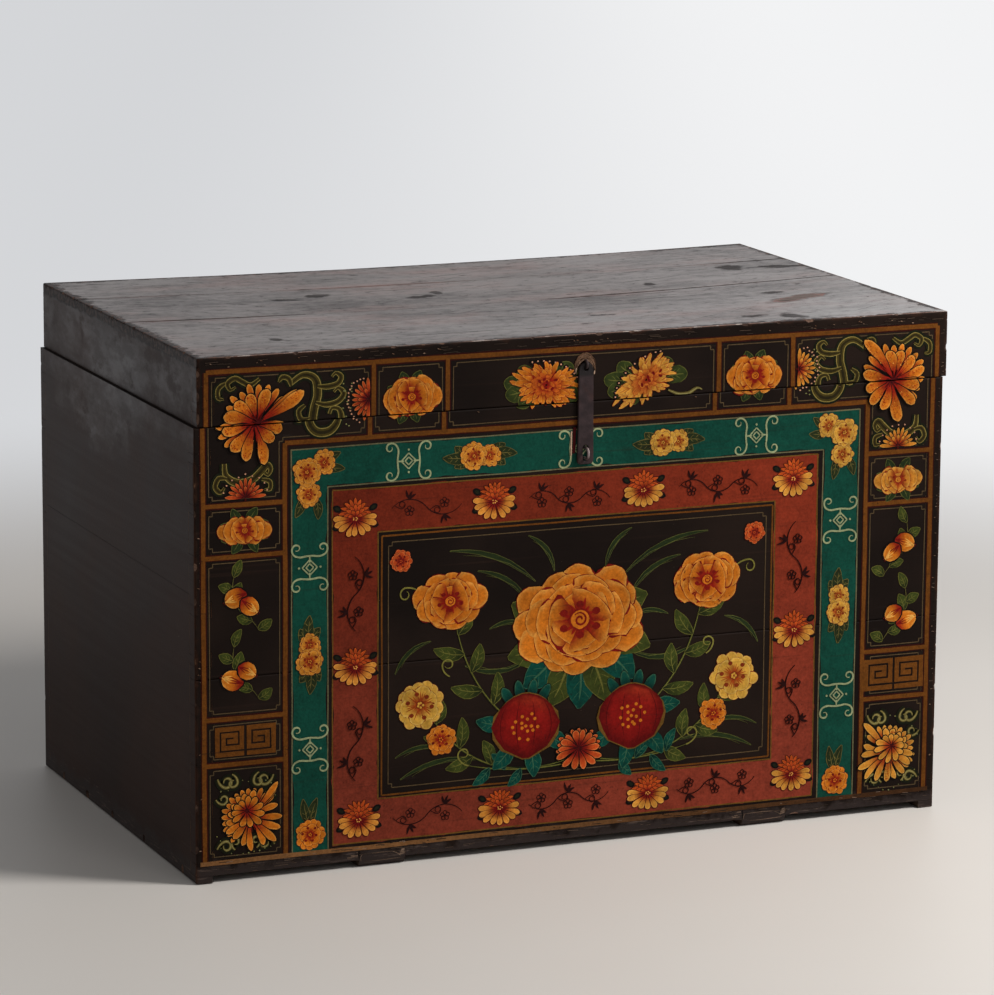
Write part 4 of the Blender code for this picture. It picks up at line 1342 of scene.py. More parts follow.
def framing():
    """The orange lines, thin inner lines and coloured bands."""
    art.layer(0)
    for left, right in (TEAL_LEFT, TEAL_RIGHT):
        middle = (left + right) / 2
        rule((middle, OUTER_FOOT), (middle, TEAL_TOP[1]), right - left, TEAL, 0.1)
    level = sum(TEAL_TOP) / 2
    rule((TEAL_LEFT[0], level), (TEAL_RIGHT[1], level), TEAL_TOP[1] - TEAL_TOP[0], TEAL, 0.1)
    # Painted shading: the red bands grow lighter from left to right, as light falls from the right.
    for (left, right), tones in zip((RED_LEFT, RED_RIGHT), zip(*BRICKS)):
        middle = (left + right) / 2
        rule((middle, RED_FOOT[0]), (middle, RED_TOP[1]), right - left, fading(*tones), 0.1)
    for (foot, head), tones in zip((RED_FOOT, RED_TOP), BRICKS):
        level = (foot + head) / 2
        rule((RED_LEFT[0], level), (RED_RIGHT[1], level), head - foot, fading(*tones), 0.1)
    art.layer(1)
    rules(gate(TEAL_LEFT[0] - 1, TEAL_RIGHT[1] + 1, OUTER_FOOT, TEAL_TOP[1] + 1, 0.4), 1.3, CREAM_LINE)
    rules(gate(TEAL_LEFT[1] + 1.2, TEAL_RIGHT[0] - 1.2, OUTER_FOOT, TEAL_TOP[0] - 1.2), 1.3, CREAM_LINE)
    outline(box_corners(RED_LEFT[0], RED_RIGHT[1], RED_FOOT[0], RED_TOP[1]), 1.3, OCHRE)
    outline(box_corners(RED_LEFT[1], RED_RIGHT[0], RED_FOOT[1], RED_TOP[0]), 1.3, OCHRE)
    outline(box_corners(*PANEL), 1.8, LINE_ORANGE)
    left, right, foot, head = PANEL
    hairline_frame(box_corners(left + PANEL_GAP, right - PANEL_GAP, foot + PANEL_GAP, head - PANEL_GAP))
    main_lines = gate(OUTER_LEFT, OUTER_RIGHT, OUTER_FOOT, OUTER_TOP)
    main_lines += gate(COLUMN_LEFT, COLUMN_RIGHT, OUTER_FOOT, ROW_FOOT)
    main_lines += [((x, ROW_FOOT), (x, OUTER_TOP)) for x in ROW_DIVIDERS]
    main_lines += [((OUTER_LEFT, z), (COLUMN_LEFT, z)) for z in LEFT_DIVIDERS]
    main_lines += [((COLUMN_RIGHT, z), (OUTER_RIGHT, z)) for z in RIGHT_DIVIDERS]
    for layer, width, tone in ((1, LINE + 2.4, LINE_RED), (3, LINE, LINE_ORANGE)):
        art.layer(layer)
        rules(main_lines, width, tone)
    rule((OUTER_LEFT - 5, OUTER_FOOT), (OUTER_RIGHT + 5, OUTER_FOOT), LINE, fading(*RUBBED))


def inner_cells():
    """The thin lines inside the cells of the border."""
    gap = CELL_GAP
    left, right = OUTER_LEFT + gap, OUTER_RIGHT - gap
    column_left, column_right = COLUMN_LEFT - gap, COLUMN_RIGHT + gap
    head, foot = OUTER_TOP - gap, ROW_FOOT + gap
    for start, end in zip(ROW_DIVIDERS, ROW_DIVIDERS[1:]):
        hairline_frame(box_corners(start + gap, end - gap, foot, head))
    near, far = ROW_DIVIDERS[0] - gap, ROW_DIVIDERS[-1] + gap
    left_foot, right_foot = LEFT_DIVIDERS[0] + gap, RIGHT_DIVIDERS[0] + gap
    hairline_frame([
        (left, left_foot), (column_left, left_foot), (column_left, foot), (near, foot), (near, head),
        (left, head),
    ])
    hairline_frame([
        (column_right, right_foot), (right, right_foot), (right, head), (far, head), (far, foot),
        (column_right, foot),
    ])
    for dividers, low, high in ((LEFT_DIVIDERS, left, column_left), (RIGHT_DIVIDERS, column_right, right)):
        for above, below in zip(dividers, (*dividers[1:], OUTER_FOOT)):
            hairline_frame(box_corners(low, high, below + gap, above - gap))


# Curls of the upper corner cells: the points of each, across and up from the flower's heart, and its width
CORNER_CURLS = (
    (((35, 38), (50, 47), (63, 42), (66, 26), (62, 10), (61, -4), (69, -14), (83, -14), (92, -4), (90, 8),
      (82, 10), (79, 4)), 8.5),
    (((66, 34), (78, 33), (89, 36), (92, 43), (86, 47), (82, 43)), 5.5),
    (((64, 17), (76, 14), (89, 17), (95, 25), (89, 31), (84, 27)), 5.5),
    (((37, 36), (34, 44), (27, 46), (23, 41)), 5.0),
    (((52, 15), (45, 9), (48, 0), (57, 1)), 5.0),
    (((-33, -41), (-31, -54), (-19, -62), (-3, -60), (8, -51), (14, -45), (18, -50), (15, -56),
      (11, -53)), 7.5),
    (((-30, -57), (-39, -56), (-43, -65), (-37, -71), (-33, -66)), 5.0),
    (((-34, 44), (-43, 38), (-43, 28), (-37, 27)), 4.5),
    (((2, 46), (-8, 40), (-17, 44), (-25, 48), (-33, 43), (-30, 36), (-24, 39)), 5.0),
    (((8, -60), (17, -63), (17, -71), (11, -71)), 4.5),
)


def corner_cells():
    """The large flowers, curls and half flowers of the two upper corners."""
    for heart, way, side_fan, foot_fan, tones, long_way in (
        ((-370, 489), 1, (-247, 506), (-380, 411), EMBER, 31),
        ((367, 488), -1, (251, 507), (378, 414), blend(FLAME, BUTTER, 0.3), 129),
    ):
        art.layer(4)
        scrolls([
            (through([(heart[0] + way * x, heart[1] + z) for x, z in points]), width)
            for points, width in CORNER_CURLS
        ])
        for _ in range(16):
            spot = heart[0] + way * vary(94, 106), heart[1] + vary(-12, 44)
            oval(spot, 0.9, 0.7, mixed(MOSS[2], CREAM, 0.3))
        art.layer(7)
        fan(side_fan, 21, facing(way, 180), tones, 17)
        art.layer(7)
        fan(foot_fan, 21, 90, tones, 9)
        art.layer(9)
        chrysanthemum(heart, 46, 90 + way * 30, 12, 1.0, FLAME, 13, long_way, 270 + way * 52)


def top_row():
    """The small flowers along the top and the pair beside the hasp."""
    for centre in ((-199, 505), (199, 503)):
        art.layer(4)
        for angle in (28, 70, 112, 156, 204, 250, 292, -24):
            root = polar(centre, angle, 12)
            leaf(root, polar(root, angle, 17), 12, FOREST, 0.05, 2)
        art.layer(7)
        peony(centre, 67, 42, FLAME, 8)
    for x, z, length, height, tilt, beaded, leaves in (
        (-46, 508, 78, 50, -12, 62, (16, 52, 130, 168, 200, 232, 318)),
        (70, 506, 80, 45, 36, 100, (10, 52, 132, 172, 206, 250)),
    ):
        art.layer(4)
        for angle in leaves:
            way = polar((0, 0), angle, 1)
            root = x + way[0] * 24, z + way[1] * 10
            tip = root[0] + way[0] * 25, root[1] + way[1] * 16
            leaf(root, tip, 19, blend(FOREST, MOSS, 0.5), 0.05, 2, 0.5)
        art.layer(7)
        shaggy((x, z), length, height, tilt, beaded, FLAME if x < 0 else blend(FLAME, BUTTER, 0.6))
    scroll(through([(96, 494), (108, 489), (120, 489), (130, 494), (136, 492)]), 3.6)


# Fruit branches of the side columns: the foot's height, and for each fruit its place, radius and blush
FRUIT_BRANCHES = (
    (268, ((-10, 305, 12.5, 200), (5, 295, 11.5, -40))),
    (194, ((-14, 217, 12.5, 160), (2, 226, 11.0, -30))),
)
# Leaves of a fruit branch: share of the way along it, turn from upright, length and width
BRANCH_LEAVES = (
    (0.05, -58, 17, 11), (0.2, 72, 17, 11), (0.45, -66, 19, 12),
    (0.6, -20, 20, 12), (0.75, 64, 17, 11), (0.97, -24, 19, 10),
)
# Curls on the left of the lower flowers: across and up, heading, length, turns and width
LOWER_CURLS = (
    (-31, 112, -80, 38, (50, 130, 170), 3.4), (-15, 116, -20, 32, (-60, -120, -170), 3.0),
    (-33, 90, -70, 30, (60, 120, 170), 3.0), (-32, 36, 70, 36, (-50, -130, -170), 3.2),
    (-12, 34, 150, 28, (-60, -120, -170), 3.0),
)


def fruit_branch(middle, way, base, fruits):
    """A branch of a side column with its leaves and a pair of fruit."""
    art.layer(4)
    path = flow((middle + way * 16, base), facing(way, 118), 74, [way * turn for turn in (26, -40, -30)])
    stem(path, 1.4, BRONZE)
    for share, turn, reach, size in BRANCH_LEAVES:
        root = path[int(share * (len(path) - 1))]
        leaf(root, polar(root, 90 + way * turn, reach), size, MOSS, vary(-0.1, 0.1), 2)
    for x, z, radius, blush in fruits:
        fruit((middle + way * x, z), radius, facing(way, blush))


def side_columns():
    """The flowers, fruit branches, frets and lower flowers of the two side columns."""
    for middle, way, dividers in ((-381, 1, LEFT_DIVIDERS), (379, -1, RIGHT_DIVIDERS)):
        art.layer(4)
        for angle in (16, 60, 120, 164, 200, 240, 300, -20):
            root = polar((middle, 376), angle, 8)
            leaf(root, polar(root, angle, 19), 11, FOREST, 0.05, 1)
        art.layer(6)
        peony((middle, 376), 60, 27, blend(FLAME, MOSS, 0.15) if way > 0 else blend(FLAME, BUTTER, 0.4), 8)
        for base, fruits in FRUIT_BRANCHES:
            fruit_branch(middle, way, base, fruits)
        art.layer(4)
        high, low = dividers[2:]
        size = (high - low) * 0.555
        for side in (-1, 1):
            key_fret((middle + side * 4.0, (low + high) / 2 - size / 2), size, side)
        curls = []
        for across, z, heading, length, turns, width in LOWER_CURLS:
            for side in (1, -1):
                bends = [side * turn for turn in turns]
                path = flow((middle + side * across, z), facing(side, heading), length, bends, 1.2)
                curls.append((path, width))
        scrolls(curls)
        art.layer(7)
        for place in range(40):
            spot = polar((middle + way * 3, 68), 9 * place, vary(38, 44))
            size = vary(0.4, 0.8)
            if abs(spot[0] - middle) < 33:
                oval(spot, size, size, mixed(MOSS[2], CREAM, vary(0.1, 0.5)))
        art.layer(8)
        tones = FLAME if way > 0 else blend(FLAME, BUTTER, 0.5)
        chrysanthemum((middle + way * 5, 68), 37, 90 + way * 45, 17, 0.98, tones, 15, 90 - way * 40)
        chrysanthemum((middle + way * 1, 75), 21, 90 + way * 45, 11, 0.9, tones, 0)


def teal_band():
    """Curled ornaments and flower pairs in turn round the teal band."""
    left, right = sum(TEAL_LEFT) / 2, sum(TEAL_RIGHT) / 2
    head = sum(TEAL_TOP) / 2
    art.layer(4)
    for x in (-198, -1, 206):
        curl_ornament((x, head), False)
    for x, places in ((left, (331, 135)), (right, (336, 139))):
        for z in places:
            curl_ornament((x, z), True)
    for x in (-117, 102):
        twin_blossom((x, head), False)
    for x, z in ((left, 237), (right, 240)):
        twin_blossom((x, z), True)
    for x, way in ((left, 1), (right, -1)):
        art.layer(4)
        for angle, reach in ((0, 13), (30, 13), (-84, 30), (-112, 30)):
            root = polar((x + way * 4, head - 3), facing(way, angle), reach)
            leaf(root, polar(root, facing(way, angle), 22), 9.5, BRONZE, 0.06, 2)
        art.layer(6)
        blossom((x + way * 16, head + 5), 13.5, 10, teal_tones(x), 5)
        art.layer(6)
        blossom((x - way * 1, head - 28), 13.5, 30, teal_tones(x), 5)
        art.layer(8)
        blossom((x - way * 3, head - 4), 15.5, 50, teal_tones(x))
        art.layer(4)
        for angle in (75, 105):
            leaf((x, 52), polar((x, 52), angle, 30), 9.5, BRONZE, 0.06, 2)
        art.layer(6)
        blossom((x, 42), 16, 20, FLAME)


def red_band():
    """Rosettes round the red band, with fine drawing between them."""
    left, right = sum(RED_LEFT) / 2, sum(RED_RIGHT) / 2
    head, foot = sum(RED_TOP) / 2, sum(RED_FOOT) / 2
    art.layer(3)
    for x, length in ((-178, 78), (-14, 92), (161, 92)):
        ink_vine((x, head), length, False)
        ink_vine((x + 2, foot), length, False, -1)
    for x in (left, right):
        for z, length in ((298, 78), (136, 80)):
            ink_vine((x, z), length, True, 1 if x < 0 else -1)
    for centre in (
        (left, 380), (-100, head), (73, head), (right - 4, head), (left, 220), (right, 218),
        (left + 4, 53), (-92, foot), (82, foot), (right, 55),
    ):
        rosette(centre)


def bough(start, end, bow):
    """A bowed line from start to end."""
    length = math.dist(start, end)
    count = max(8, int(length / 3))
    shares = [number / count for number in range(count + 1)]
    return [beside(start, end, share, bowed(bow, length, share)) for share in shares]


def leafy(path, shares, length, width, tones):
    """Leaves in turn on both sides of a bough."""
    for number, share in enumerate(shares):
        place = int(share * (len(path) - 2))
        root = path[place]
        heading = heading_to(root, path[place + 1])
        side = 1 if number % 2 else -1
        tip = polar(root, heading + side * vary(40, 58), length * vary(0.85, 1.1))
        leaf(root, tip, width, tones, 0.08 * side, 3)


def pomegranate(centre, radius):
    """A red fruit with a green crown."""

    def skin(across, along):
        edge = math.hypot(across, 2 * along - 1)
        lit = mixed(POMEGRANATE[1], POMEGRANATE[2], 0.6 * eased(along - across * 0.2, 0.5, 0.95))
        return mixed(lit, POMEGRANATE[0], eased(edge, 0.6, 1.0))

    for angle in (58, 79, 101, 122):
        root, tip = (polar(centre, angle, radius * share) for share in (0.7, 1.36))
        petal(root, tip, radius * 0.3, SEAGREEN, 1.0)
    oval(centre, radius + 1.2, radius * 0.94 + 1.2, OCHRE)
    oval(centre, radius, radius * 0.94, skin)
    for across in (-0.55, -0.2, 0.2, 0.55):
        x = centre[0] + across * radius
        path = bough((x, centre[1] - radius * 0.7), (x, centre[1] + radius * 0.7), -across * 0.3)
        ribbon(path, 1.1, POMEGRANATE[0], (0.3, 0.3))
    for reach, count in ((0.0, 1), (0.2, 5), (0.42, 10)):
        dots(centre, radius * reach, count, radius * 0.05, FLAME[1])


# The right half of the centre spray: grass blades with their ends, bow and width
SPRAY_GRASS = (
    ((52, 296), (150, 336), 0.10, 5), ((60, 274), (118, 312), 0.12, 5), ((58, 212), (132, 210), -0.14, 5),
    ((120, 106), (206, 92), 0.10, 5), ((150, 118), (212, 116), 0.14, 4), ((172, 240), (212, 208), 0.14, 4.5),
    ((30, 306), (60, 346), 0.14, 5), ((64, 250), (104, 248), 0.12, 4.5),
)
# Its curls with their start, heading and turns
SPRAY_CURLS = (
    ((128, 100), 10, (50, 130, 190)), ((186, 296), 40, (-40, -130, -190)), ((150, 200), 20, (60, 140, 190)),
)
# Its boughs with their ends and bow, and the places, length, width and tones of their leaves
SPRAY_BOUGHS = (
    ((0, 108), (146, 276), -0.17, (0.5, 0.6, 0.7, 0.8, 0.9), 34, 15, MOSS),
    ((0, 100), (180, 172), -0.2, (0.5, 0.62, 0.72, 0.82, 0.92), 30, 14, MOSS),
    ((0, 94), (128, 100), -0.05, (0.4, 0.55, 0.7, 0.85), 24, 11, SEAGREEN),
)
# Its flowers with their places, sizes and tones
SPRAY_FLOWERS = (
    (peony, (150, 282), 84, 62, FLAME, 9), (blossom, (184, 172), 27, 18, BUTTER),
    (blossom, (160, 132), 17, 50, FLAME), (blossom, (206, 330), 12, 20, EMBER),
)


def side_of(middle, way):
    """Gives places across from a middle line, on its right for 1 and its left for -1."""
    return lambda place: (middle + way * place[0], place[1])


def centre_panel():
    """A flowering spray, the same on both sides of its middle stem."""
    middle = (PANEL[0] + PANEL[1]) / 2
    for way in (1, -1):
        at = side_of(middle, way)
        art.layer(3)
        for start, end, bow, width in SPRAY_GRASS:
            leaf(at(start), at(end), width, FOREST, bow * way, 0)
        boughs = [bough(at(start), at(end), bow * way) for start, end, bow, *_ in SPRAY_BOUGHS]
        for path in boughs:
            stem(path, 2.2)
        for path, (_, _, _, *leaves) in zip(boughs, SPRAY_BOUGHS):
            leafy(path, *leaves)
        for start, heading, turns in SPRAY_CURLS:
            path = flow(at(start), facing(way, heading), 46, [way * turn for turn in turns])
            ribbon(path, 1.6, MOSS[2], (0.9, 0.3))
    art.layer(6)
    for angle in (196, 222, 248, 270, 292, 318, 344, 24, 156):
        root = polar((middle, 238), angle, 30)
        leaf(root, polar(root, angle, 56), 36, SEAGREEN if angle % 4 else MOSS, 0.05, 3)
    for way in (1, -1):
        at = side_of(middle, way)
        art.layer(8)
        centre = at((62, 138))
        for angle in (-150, -100, -50, 10):
            root, tip = (polar(centre, facing(way, angle), reach) for reach in (24, 58))
            leaf(root, tip, 18, SEAGREEN, 0.06, 3)
        pomegranate(centre, 38)
        for draw, place, *rest in SPRAY_FLOWERS:
            art.layer(8)
            draw(at(place), *rest)
    art.layer(10)
    peony((middle, 250), 158, 122, FLAME, 12, 4)
    art.layer(10)
    chrysanthemum((middle, 108), 30, 90, 14, 0.85, EMBER, 11)


def rubbed_tone(low, high):
    """Lacquer worn through by a share between low and high."""
    return mixed(BLACK, BARE[1], vary(low, high))


def scratches(count, across, level, length, width, shares):
    """Short level scratches, strewn between the limits of across and level."""
    for _ in range(count):
        x, z = vary(*across), vary(*level)
        end = min(x + vary(*length), across[1]), z + vary(-0.6, 0.6)
        rule((x, z), end, vary(*width), rubbed_tone(*shares), 0.2)


def skid_wear(side):
    """The end of a skid: a dark crack on its left, rubbed edges, a bare corner and scratches beside it."""
    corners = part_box(f"skid_{side}")
    low, high = (corner.x / MM for corner in corners)
    head = corners[1].z / MM
    rule((low - 0.3, 9.5), (low - 0.5, head + 4.5), 1.3, BLACK, 0.4)
    rims = (
        ((low + 2.0, 6.4), (low + 1.4, head - 3.0), (low + 3.5, head + 0.2)),
        ((low + 3.5, head + 0.2), (low + 18, head + 0.7), (high - 15, head + 0.4)),
        ((high - 15, head + 0.4), (high - 9, head - 2.2), (high - 5, 8.6)),
        ((low + 2.0, 6.4), (low + 20, 5.8), (high - 4, 6.6)),
    )
    for rim in rims:
        path = through(rim, 1.2)
        for _ in range(3):
            first = art.pick.randrange(max(len(path) // 2, 1))
            ribbon(path[first:], vary(0.4, 0.9), rubbed_tone(0.12, 0.34), (0.3, 0.3))
    for lift in range(4):
        start = high - 6.5 + lift * 0.8, head - 3.4 + lift * 1.5
        rule(start, (high - 0.6, start[1] + 0.8), 1.3, rubbed_tone(0.2, 0.42), 0.3)
    scratches(9, (low - 15, low - 2), (11, head + 4), (3, 9), (0.3, 0.8), (0.12, 0.45))


def pale_losses():
    """Small pale losses, most of them on the margins and the lid's front edge."""
    spots = [(-431.5, z) for z in (36, 92, 140, 226, 233, 240, 318, 371, 440)]
    spots += [(426.5, z) for z in (60, 118, 207, 262, 330, 402, 455)]
    spots += [(x, 484) for x in (-402, -121, 131, 305)]
    spots += [(vary(-425, 425), vary(549, 555)) for _ in range(30)]
    for x, z in spots:
        x += vary(-2, 2)
        wide = vary(0.4, 1.6)
        lean = vary(-25, 25)
        ends = [polar((x, z), lean + turn, wide) for turn in (180, 0)]
        rows = blade(*ends, vary(0.4, 1.1), 1.0, 0.1)
        art.lay(rows, mixed(*BARE, art.pick.random() ** 2 * 0.8))


def hasp_scrapes():
    """Paint that the hasp has scraped away, in arcs round its eye and lines beside it."""
    centre = ((STRAP_LOW.x + STRAP_HIGH.x) / 2 - LID_SHIFT) / MM, STRAP_HIGH.z / MM - 10
    for strand in range(9):
        wide, high = 9.9 + 0.4 * strand, 12.0 + 1.0 * strand
        start, end = art.pick.randint(-14, 50), art.pick.randint(130, 192)
        arc = []
        for turn in range(start, end, 9):
            way = polar((0, 0), turn, 1)
            loose = vary(-0.4, 0.4)
            arc.append((centre[0] + way[0] * (wide + loose), centre[1] + way[1] * (high + loose)))
        ribbon(arc, vary(0.4, 0.9), mixed(*BARE, vary(0.0, 0.35)), (0.2, 0.2))
    for turn, span in ((172, 34), (-8, 22)):
        flank = [polar(centre, angle, 10.8) for angle in fanned(turn, span, 7)]
        ribbon(flank, 1.5, BARE[1], (0.3, 0.3))
    edge, toe = STRAP_LOW.x / MM, STRAP_LOW.z / MM
    rule((edge - 1.6, toe + 40), (edge - 2.6, toe + 12), 3.2, mixed(MAROON, BLACK, 0.4), 0.6)
    rule((edge - 6.0, toe + 36), (edge - 6.6, toe + 10), 1.5, BARE[1], 0.6)


def wear_marks():
    """Small pale losses, the paint that the hasp has scraped away, the scuffed foot and scratches."""
    art.layer(9)
    pale_losses()
    hasp_scrapes()
    art.layer(0)
    for side in ("left", "right"):
        skid_wear(side)
    scratches(60, (-428, 424), (11.5, 18.5), (3, 16), (0.25, 0.6), (0.05, 0.22))
    scratches(34, (OUTER_RIGHT + 4, 428), (120, 540), (2, 9), (0.3, 0.6), (0.12, 0.55))
    scratches(24, (-431, OUTER_LEFT - 4), (60, 540), (1.5, 6), (0.25, 0.55), (0.06, 0.4))
    scratches(90, (-428, 426), (548.5, 556), (2, 16), (0.25, 0.6), (0.03, 0.16))
    art.layer(4)
    scratches(34, (-425, 420), (OUTER_FOOT - 2, OUTER_FOOT + 2), (2, 13), (0.3, 0.9), (0.0, 0.06))
    scratches(16, (-425, 420), (OUTER_FOOT - 2, OUTER_FOOT + 2.4), (2, 9), (0.3, 0.7), (0.3, 0.5))


def nail_tree():
    """A node tree that sets a forged nail head on each point, along the point's own facing."""
    tree = bpy.data.node_groups.new("forged_nails", "GeometryNodeTree")
    for name, kind in (
        ("Geometry", "Geometry"), ("Head Radius", "Float"), ("Head Height", "Float"), ("Seed", "Int"),
        ("Iron", "Material"),
    ):
        tree.interface.new_socket(name, in_out="INPUT", socket_type="NodeSocket" + kind)
    tree.interface.new_socket("Geometry", in_out="OUTPUT", socket_type="NodeSocketGeometry")
    make = Nodes(tree).node
    given = {socket.name: Wire(tree, socket) for socket in tree.nodes.new("NodeGroupInput").outputs}

    def chance(low, high):
        limits = {2: low, 3: high, "Seed": given["Seed"]}
        return make("FunctionNodeRandomValue", {"data_type": "FLOAT"}, limits, 1)

    head = make("GeometryNodeMeshCone", None, {
        "Vertices": 7, "Fill Segments": 1, "Radius Top": given["Head Radius"] * 0.42,
        "Radius Bottom": given["Head Radius"], "Depth": given["Head Height"],
    }, "Mesh")
    outward = make("GeometryNodeInputNamedAttribute", {"data_type": "FLOAT_VECTOR"}, {"Name": "facing"})
    upright = make("FunctionNodeAlignRotationToVector", {"axis": "Z"}, {"Vector": outward})
    spin = make("FunctionNodeAxisAngleToRotation", None, {"Axis": (0, 0, 1), "Angle": chance(0.0, 6.28)})
    turned = make("FunctionNodeRotateRotation", {"rotation_space": "LOCAL"}, {0: upright, 1: spin})
    placed = make("GeometryNodeInstanceOnPoints", None, {
        "Points": given["Geometry"], "Instance": head, "Rotation": turned, "Scale": chance(0.8, 1.2),
    })
    real = make("GeometryNodeRealizeInstances", None, {"Geometry": placed})
    dressed = make("GeometryNodeSetMaterial", None, {"Geometry": real, "Material": given["Iron"]})
    join(tree, tree.nodes.new("NodeGroupOutput").inputs[0], dressed)
    return tree


def nails(tree, name, body, points, seed):
    """Nail heads on points of the back, which face outwards."""
    mesh = bpy.data.meshes.new(name + "_points")
    mesh.from_pydata(points, [], [])
    facings = mesh.attributes.new("facing", "FLOAT_VECTOR", "POINT")
    for number in range(len(points)):
        facings.data[number].vector = (0, 1, 0)
    holder = link(name + "_points", mesh)
    maker = holder.modifiers.new("nails", "NODES")
    maker.node_group = tree
    values = {"Head Radius": NAIL_RADIUS, "Head Height": NAIL_HEIGHT, "Seed": seed, "Iron": IRON}
    for item in tree.interface.items_tree:
        if item.in_out == "INPUT" and item.name in values:
            maker[item.identifier] = values[item.name]
    view = bpy.context.evaluated_depsgraph_get()
    made = bpy.data.meshes.new_from_object(holder.evaluated_get(view))
    bpy.data.objects.remove(holder)
    made.materials.clear()
    new_piece(name, made, (IRON,), body)


def dress_iron():
    """The hinges and hasp in browned iron, and the nails."""
    irons = {"hasp_strap": STRAP_IRON, "hasp_keeper_staple": STAPLE_IRON}
    for name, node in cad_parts.items():
        if name.startswith(("hinge", "hasp")):
            node.data.materials.clear()
            node.data.materials.append(irons.get(name, IRON))
    tree = nail_tree()
    for part, body, seed, shares in (
        ("body", "trunk", 3, ((0.25, 0.2), (0.75, 0.2), (0.5, 0.55), (0.5, 0.85))),
        ("lid", "lid", 4, ((0.25, 0.2), (0.75, 0.2), (0.5, 0.6))),
    ):
        points = []
        for side in ("left", "right"):
            low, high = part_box(f"hinge_{side}_{part}_leaf")
            for across, away in shares:
                off = away * (high.z - low.z) + NAIL_SETBACK
                z = high.z - off if part == "body" else low.z + off
                points.append((low.x + across * (high.x - low.x), NAIL_LEVEL, z))
        nails(tree, f"hinge_{part}_nails", body, points, seed)


def build_painting():
    """The strokes of each area, as one piece on the body and one on the lid."""
    for area, draw in (
        ("lines", framing), ("cell_lines", inner_cells), ("corner_flowers", corner_cells),
        ("row_flowers", top_row), ("column_flowers", side_columns), ("teal_band_flowers", teal_band),
        ("red_band_flowers", red_band), ("centre_spray", centre_panel), ("wear_marks", wear_marks),
    ):
        art.start(area)
        draw()
        for upper, body in ((False, "trunk"), (True, "lid")):
            mesh = art.sheet(area, upper)
            if mesh.polygons:
                new_piece(mesh.name, mesh, (PAINT,), body)


def lamp(name, place, aim, size, power, colour=(1, 1, 1)):
    """A round soft light at a place, turned to its aim."""
    data = bpy.data.lights.new(name, "AREA")
    data.shape = "DISK"
    data.size = size
    data.energy = power
    data.color = colour
    light = link(name, data)
    light.location = place
    light.rotation_euler = (Vector(aim) - Vector(place)).to_track_quat("-Z", "Y").to_euler()


def background_rays(nodes):
    """1 for the rays that show the background: those of the camera, of gloss and of glass."""
    kinds = ("Camera", "Glossy", "Transmission")
    camera, gloss, glass = (nodes.node("ShaderNodeLightPath", output=f"Is {kind} Ray") for kind in kinds)
    return camera.most(gloss).most(glass)


def across_view(nodes, vector, low, high):
    """0 on the left of the view and 1 on its right, for a place on the floor or a way in the sky."""
    right = (math.cos(CAMERA_YAW), -math.sin(CAMERA_YAW), 0)
    sight = nodes.node("ShaderNodeVectorMath", {"operation": "DOT_PRODUCT"}, {0: vector, 1: right}, "Value")
    return nodes.ramp(sight, low, high)


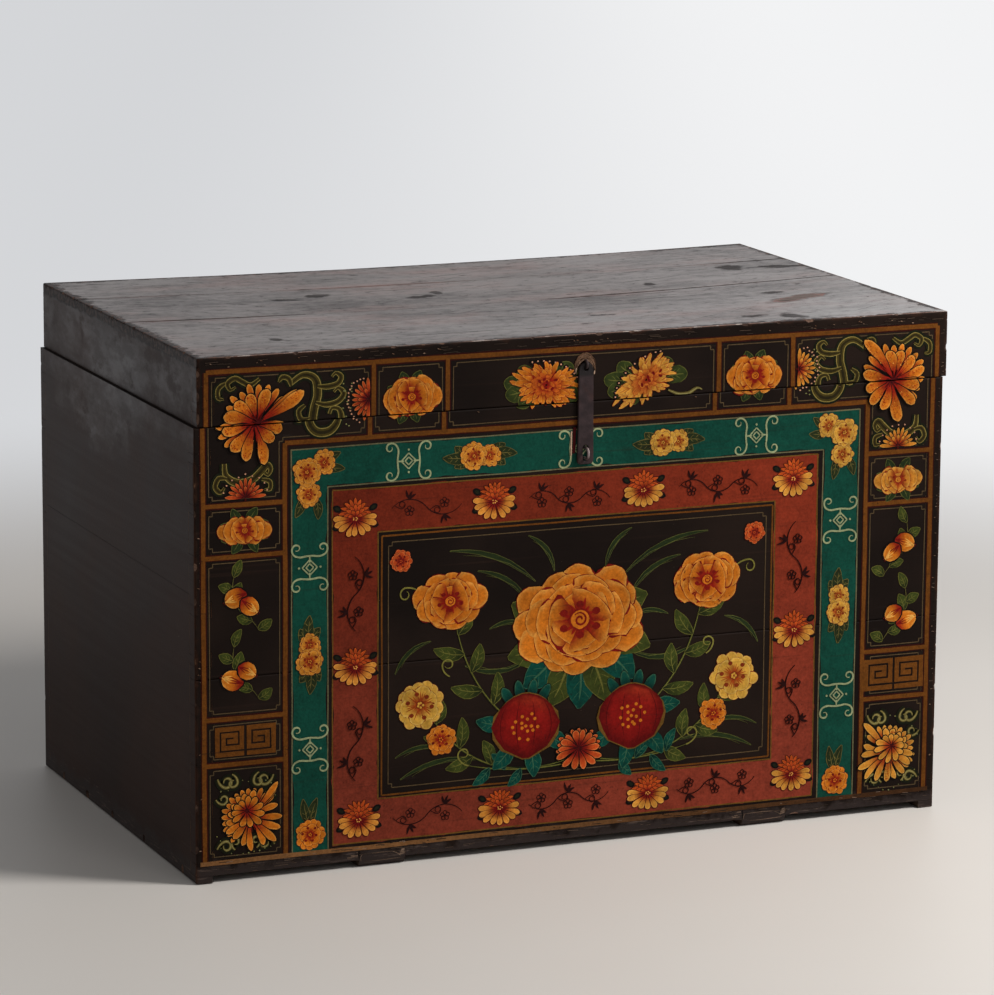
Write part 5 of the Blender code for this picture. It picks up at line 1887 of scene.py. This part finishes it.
def studio():
    """Pale floor, soft light from the right, and a pale world behind that brightens to the right."""
    ground = bmesh.new()
    bmesh.ops.create_circle(ground, cap_ends=True, segments=96, radius=FLOOR_RADIUS)
    bmesh.ops.translate(ground, verts=ground.verts, vec=(0, 0, -FLOOR_DROP))
    floor = link("floor", mesh_of("floor", ground))
    pale = Finish("pale_floor")
    across, back = pale.axis("X"), pale.axis("Y")
    far = pale.ramp((across * across + back * back) ** 0.5, FLOOR_NEAR, FLOOR_FAR)
    colour = pale.mix(tint(230, 223, 215), tint(237, 232, 226), pale.noise(1.6, 2.0, 3))
    pale.set(Base_Color=colour, Roughness=0.5, Specular_IOR_Level=0.3)
    # Far off, the floor glows as a pale backdrop for camera and gloss rays: painted light, brighter to the
    # right.
    side = across_view(pale, pale.place, -BACKDROP_HALF, BACKDROP_HALF)
    glow = pale.node("ShaderNodeEmission", inputs={"Color": pale.mix(BACKDROP_LEFT, BACKDROP_RIGHT, side)})
    both = {0: far * background_rays(pale), 1: Wire(pale.tree, pale.shader.outputs[0]), 2: glow}
    surface = pale.node("ShaderNodeMixShader", inputs=both)
    join(pale.tree, pale.tree.nodes["Material Output"].inputs["Surface"], surface)
    floor.data.materials.append(pale.material)
    lamp("key", (1.85, -1.55, 2.1), (0, 0, 0.3), 0.9, 78, (1, 0.985, 0.965))
    lamp("fill", (0.8, -4.8, 2.4), (0, 0, 0.3), 2.2, 12)
    world = bpy.data.worlds.new("studio")
    bpy.context.scene.world = world
    world.use_nodes = True
    nodes = Nodes(world.node_tree)
    sky = nodes.tree.nodes["Background"]
    sky.inputs["Color"].default_value = (0.95, 0.96, 0.98, 1)
    way = nodes.node("ShaderNodeTexCoord", output="Generated")
    seen = across_view(nodes, way, -0.07, 0.12) * (GLOSS_RIGHT - GLOSS_LEFT) + GLOSS_LEFT
    join(nodes.tree, sky.inputs["Strength"], background_rays(nodes) * (seen - WORLD_LIGHT) + WORLD_LIGHT)


def photo_camera():
    """The camera at the photograph's place and angle."""
    data = bpy.data.cameras.new("photo_camera")
    data.sensor_fit = "VERTICAL"
    data.sensor_height = SENSOR_HEIGHT
    data.lens = FOCAL_PIXELS * SENSOR_HEIGHT / PHOTO_HEIGHT
    data.clip_end = CAMERA_REACH
    level = math.cos(CAMERA_PITCH)
    ahead = Vector((math.sin(CAMERA_YAW) * level, math.cos(CAMERA_YAW) * level, -math.sin(CAMERA_PITCH)))
    right = Vector((math.cos(CAMERA_YAW), -math.sin(CAMERA_YAW), 0))
    up = right.cross(ahead)
    turned_right = right * math.cos(CAMERA_ROLL) + up * math.sin(CAMERA_ROLL)
    turned_up = up * math.cos(CAMERA_ROLL) - right * math.sin(CAMERA_ROLL)
    facing_photo = Matrix((turned_right, turned_up, -ahead)).transposed().to_4x4()
    camera = link("photo_camera", data)
    camera.matrix_world = Matrix.Translation(CAMERA_PLACE) @ facing_photo
    bpy.context.scene.camera = camera
    bpy.context.scene.view_settings.view_transform = "Standard"


dress_boards()
dress_iron()
build_painting()
studio()
photo_camera()
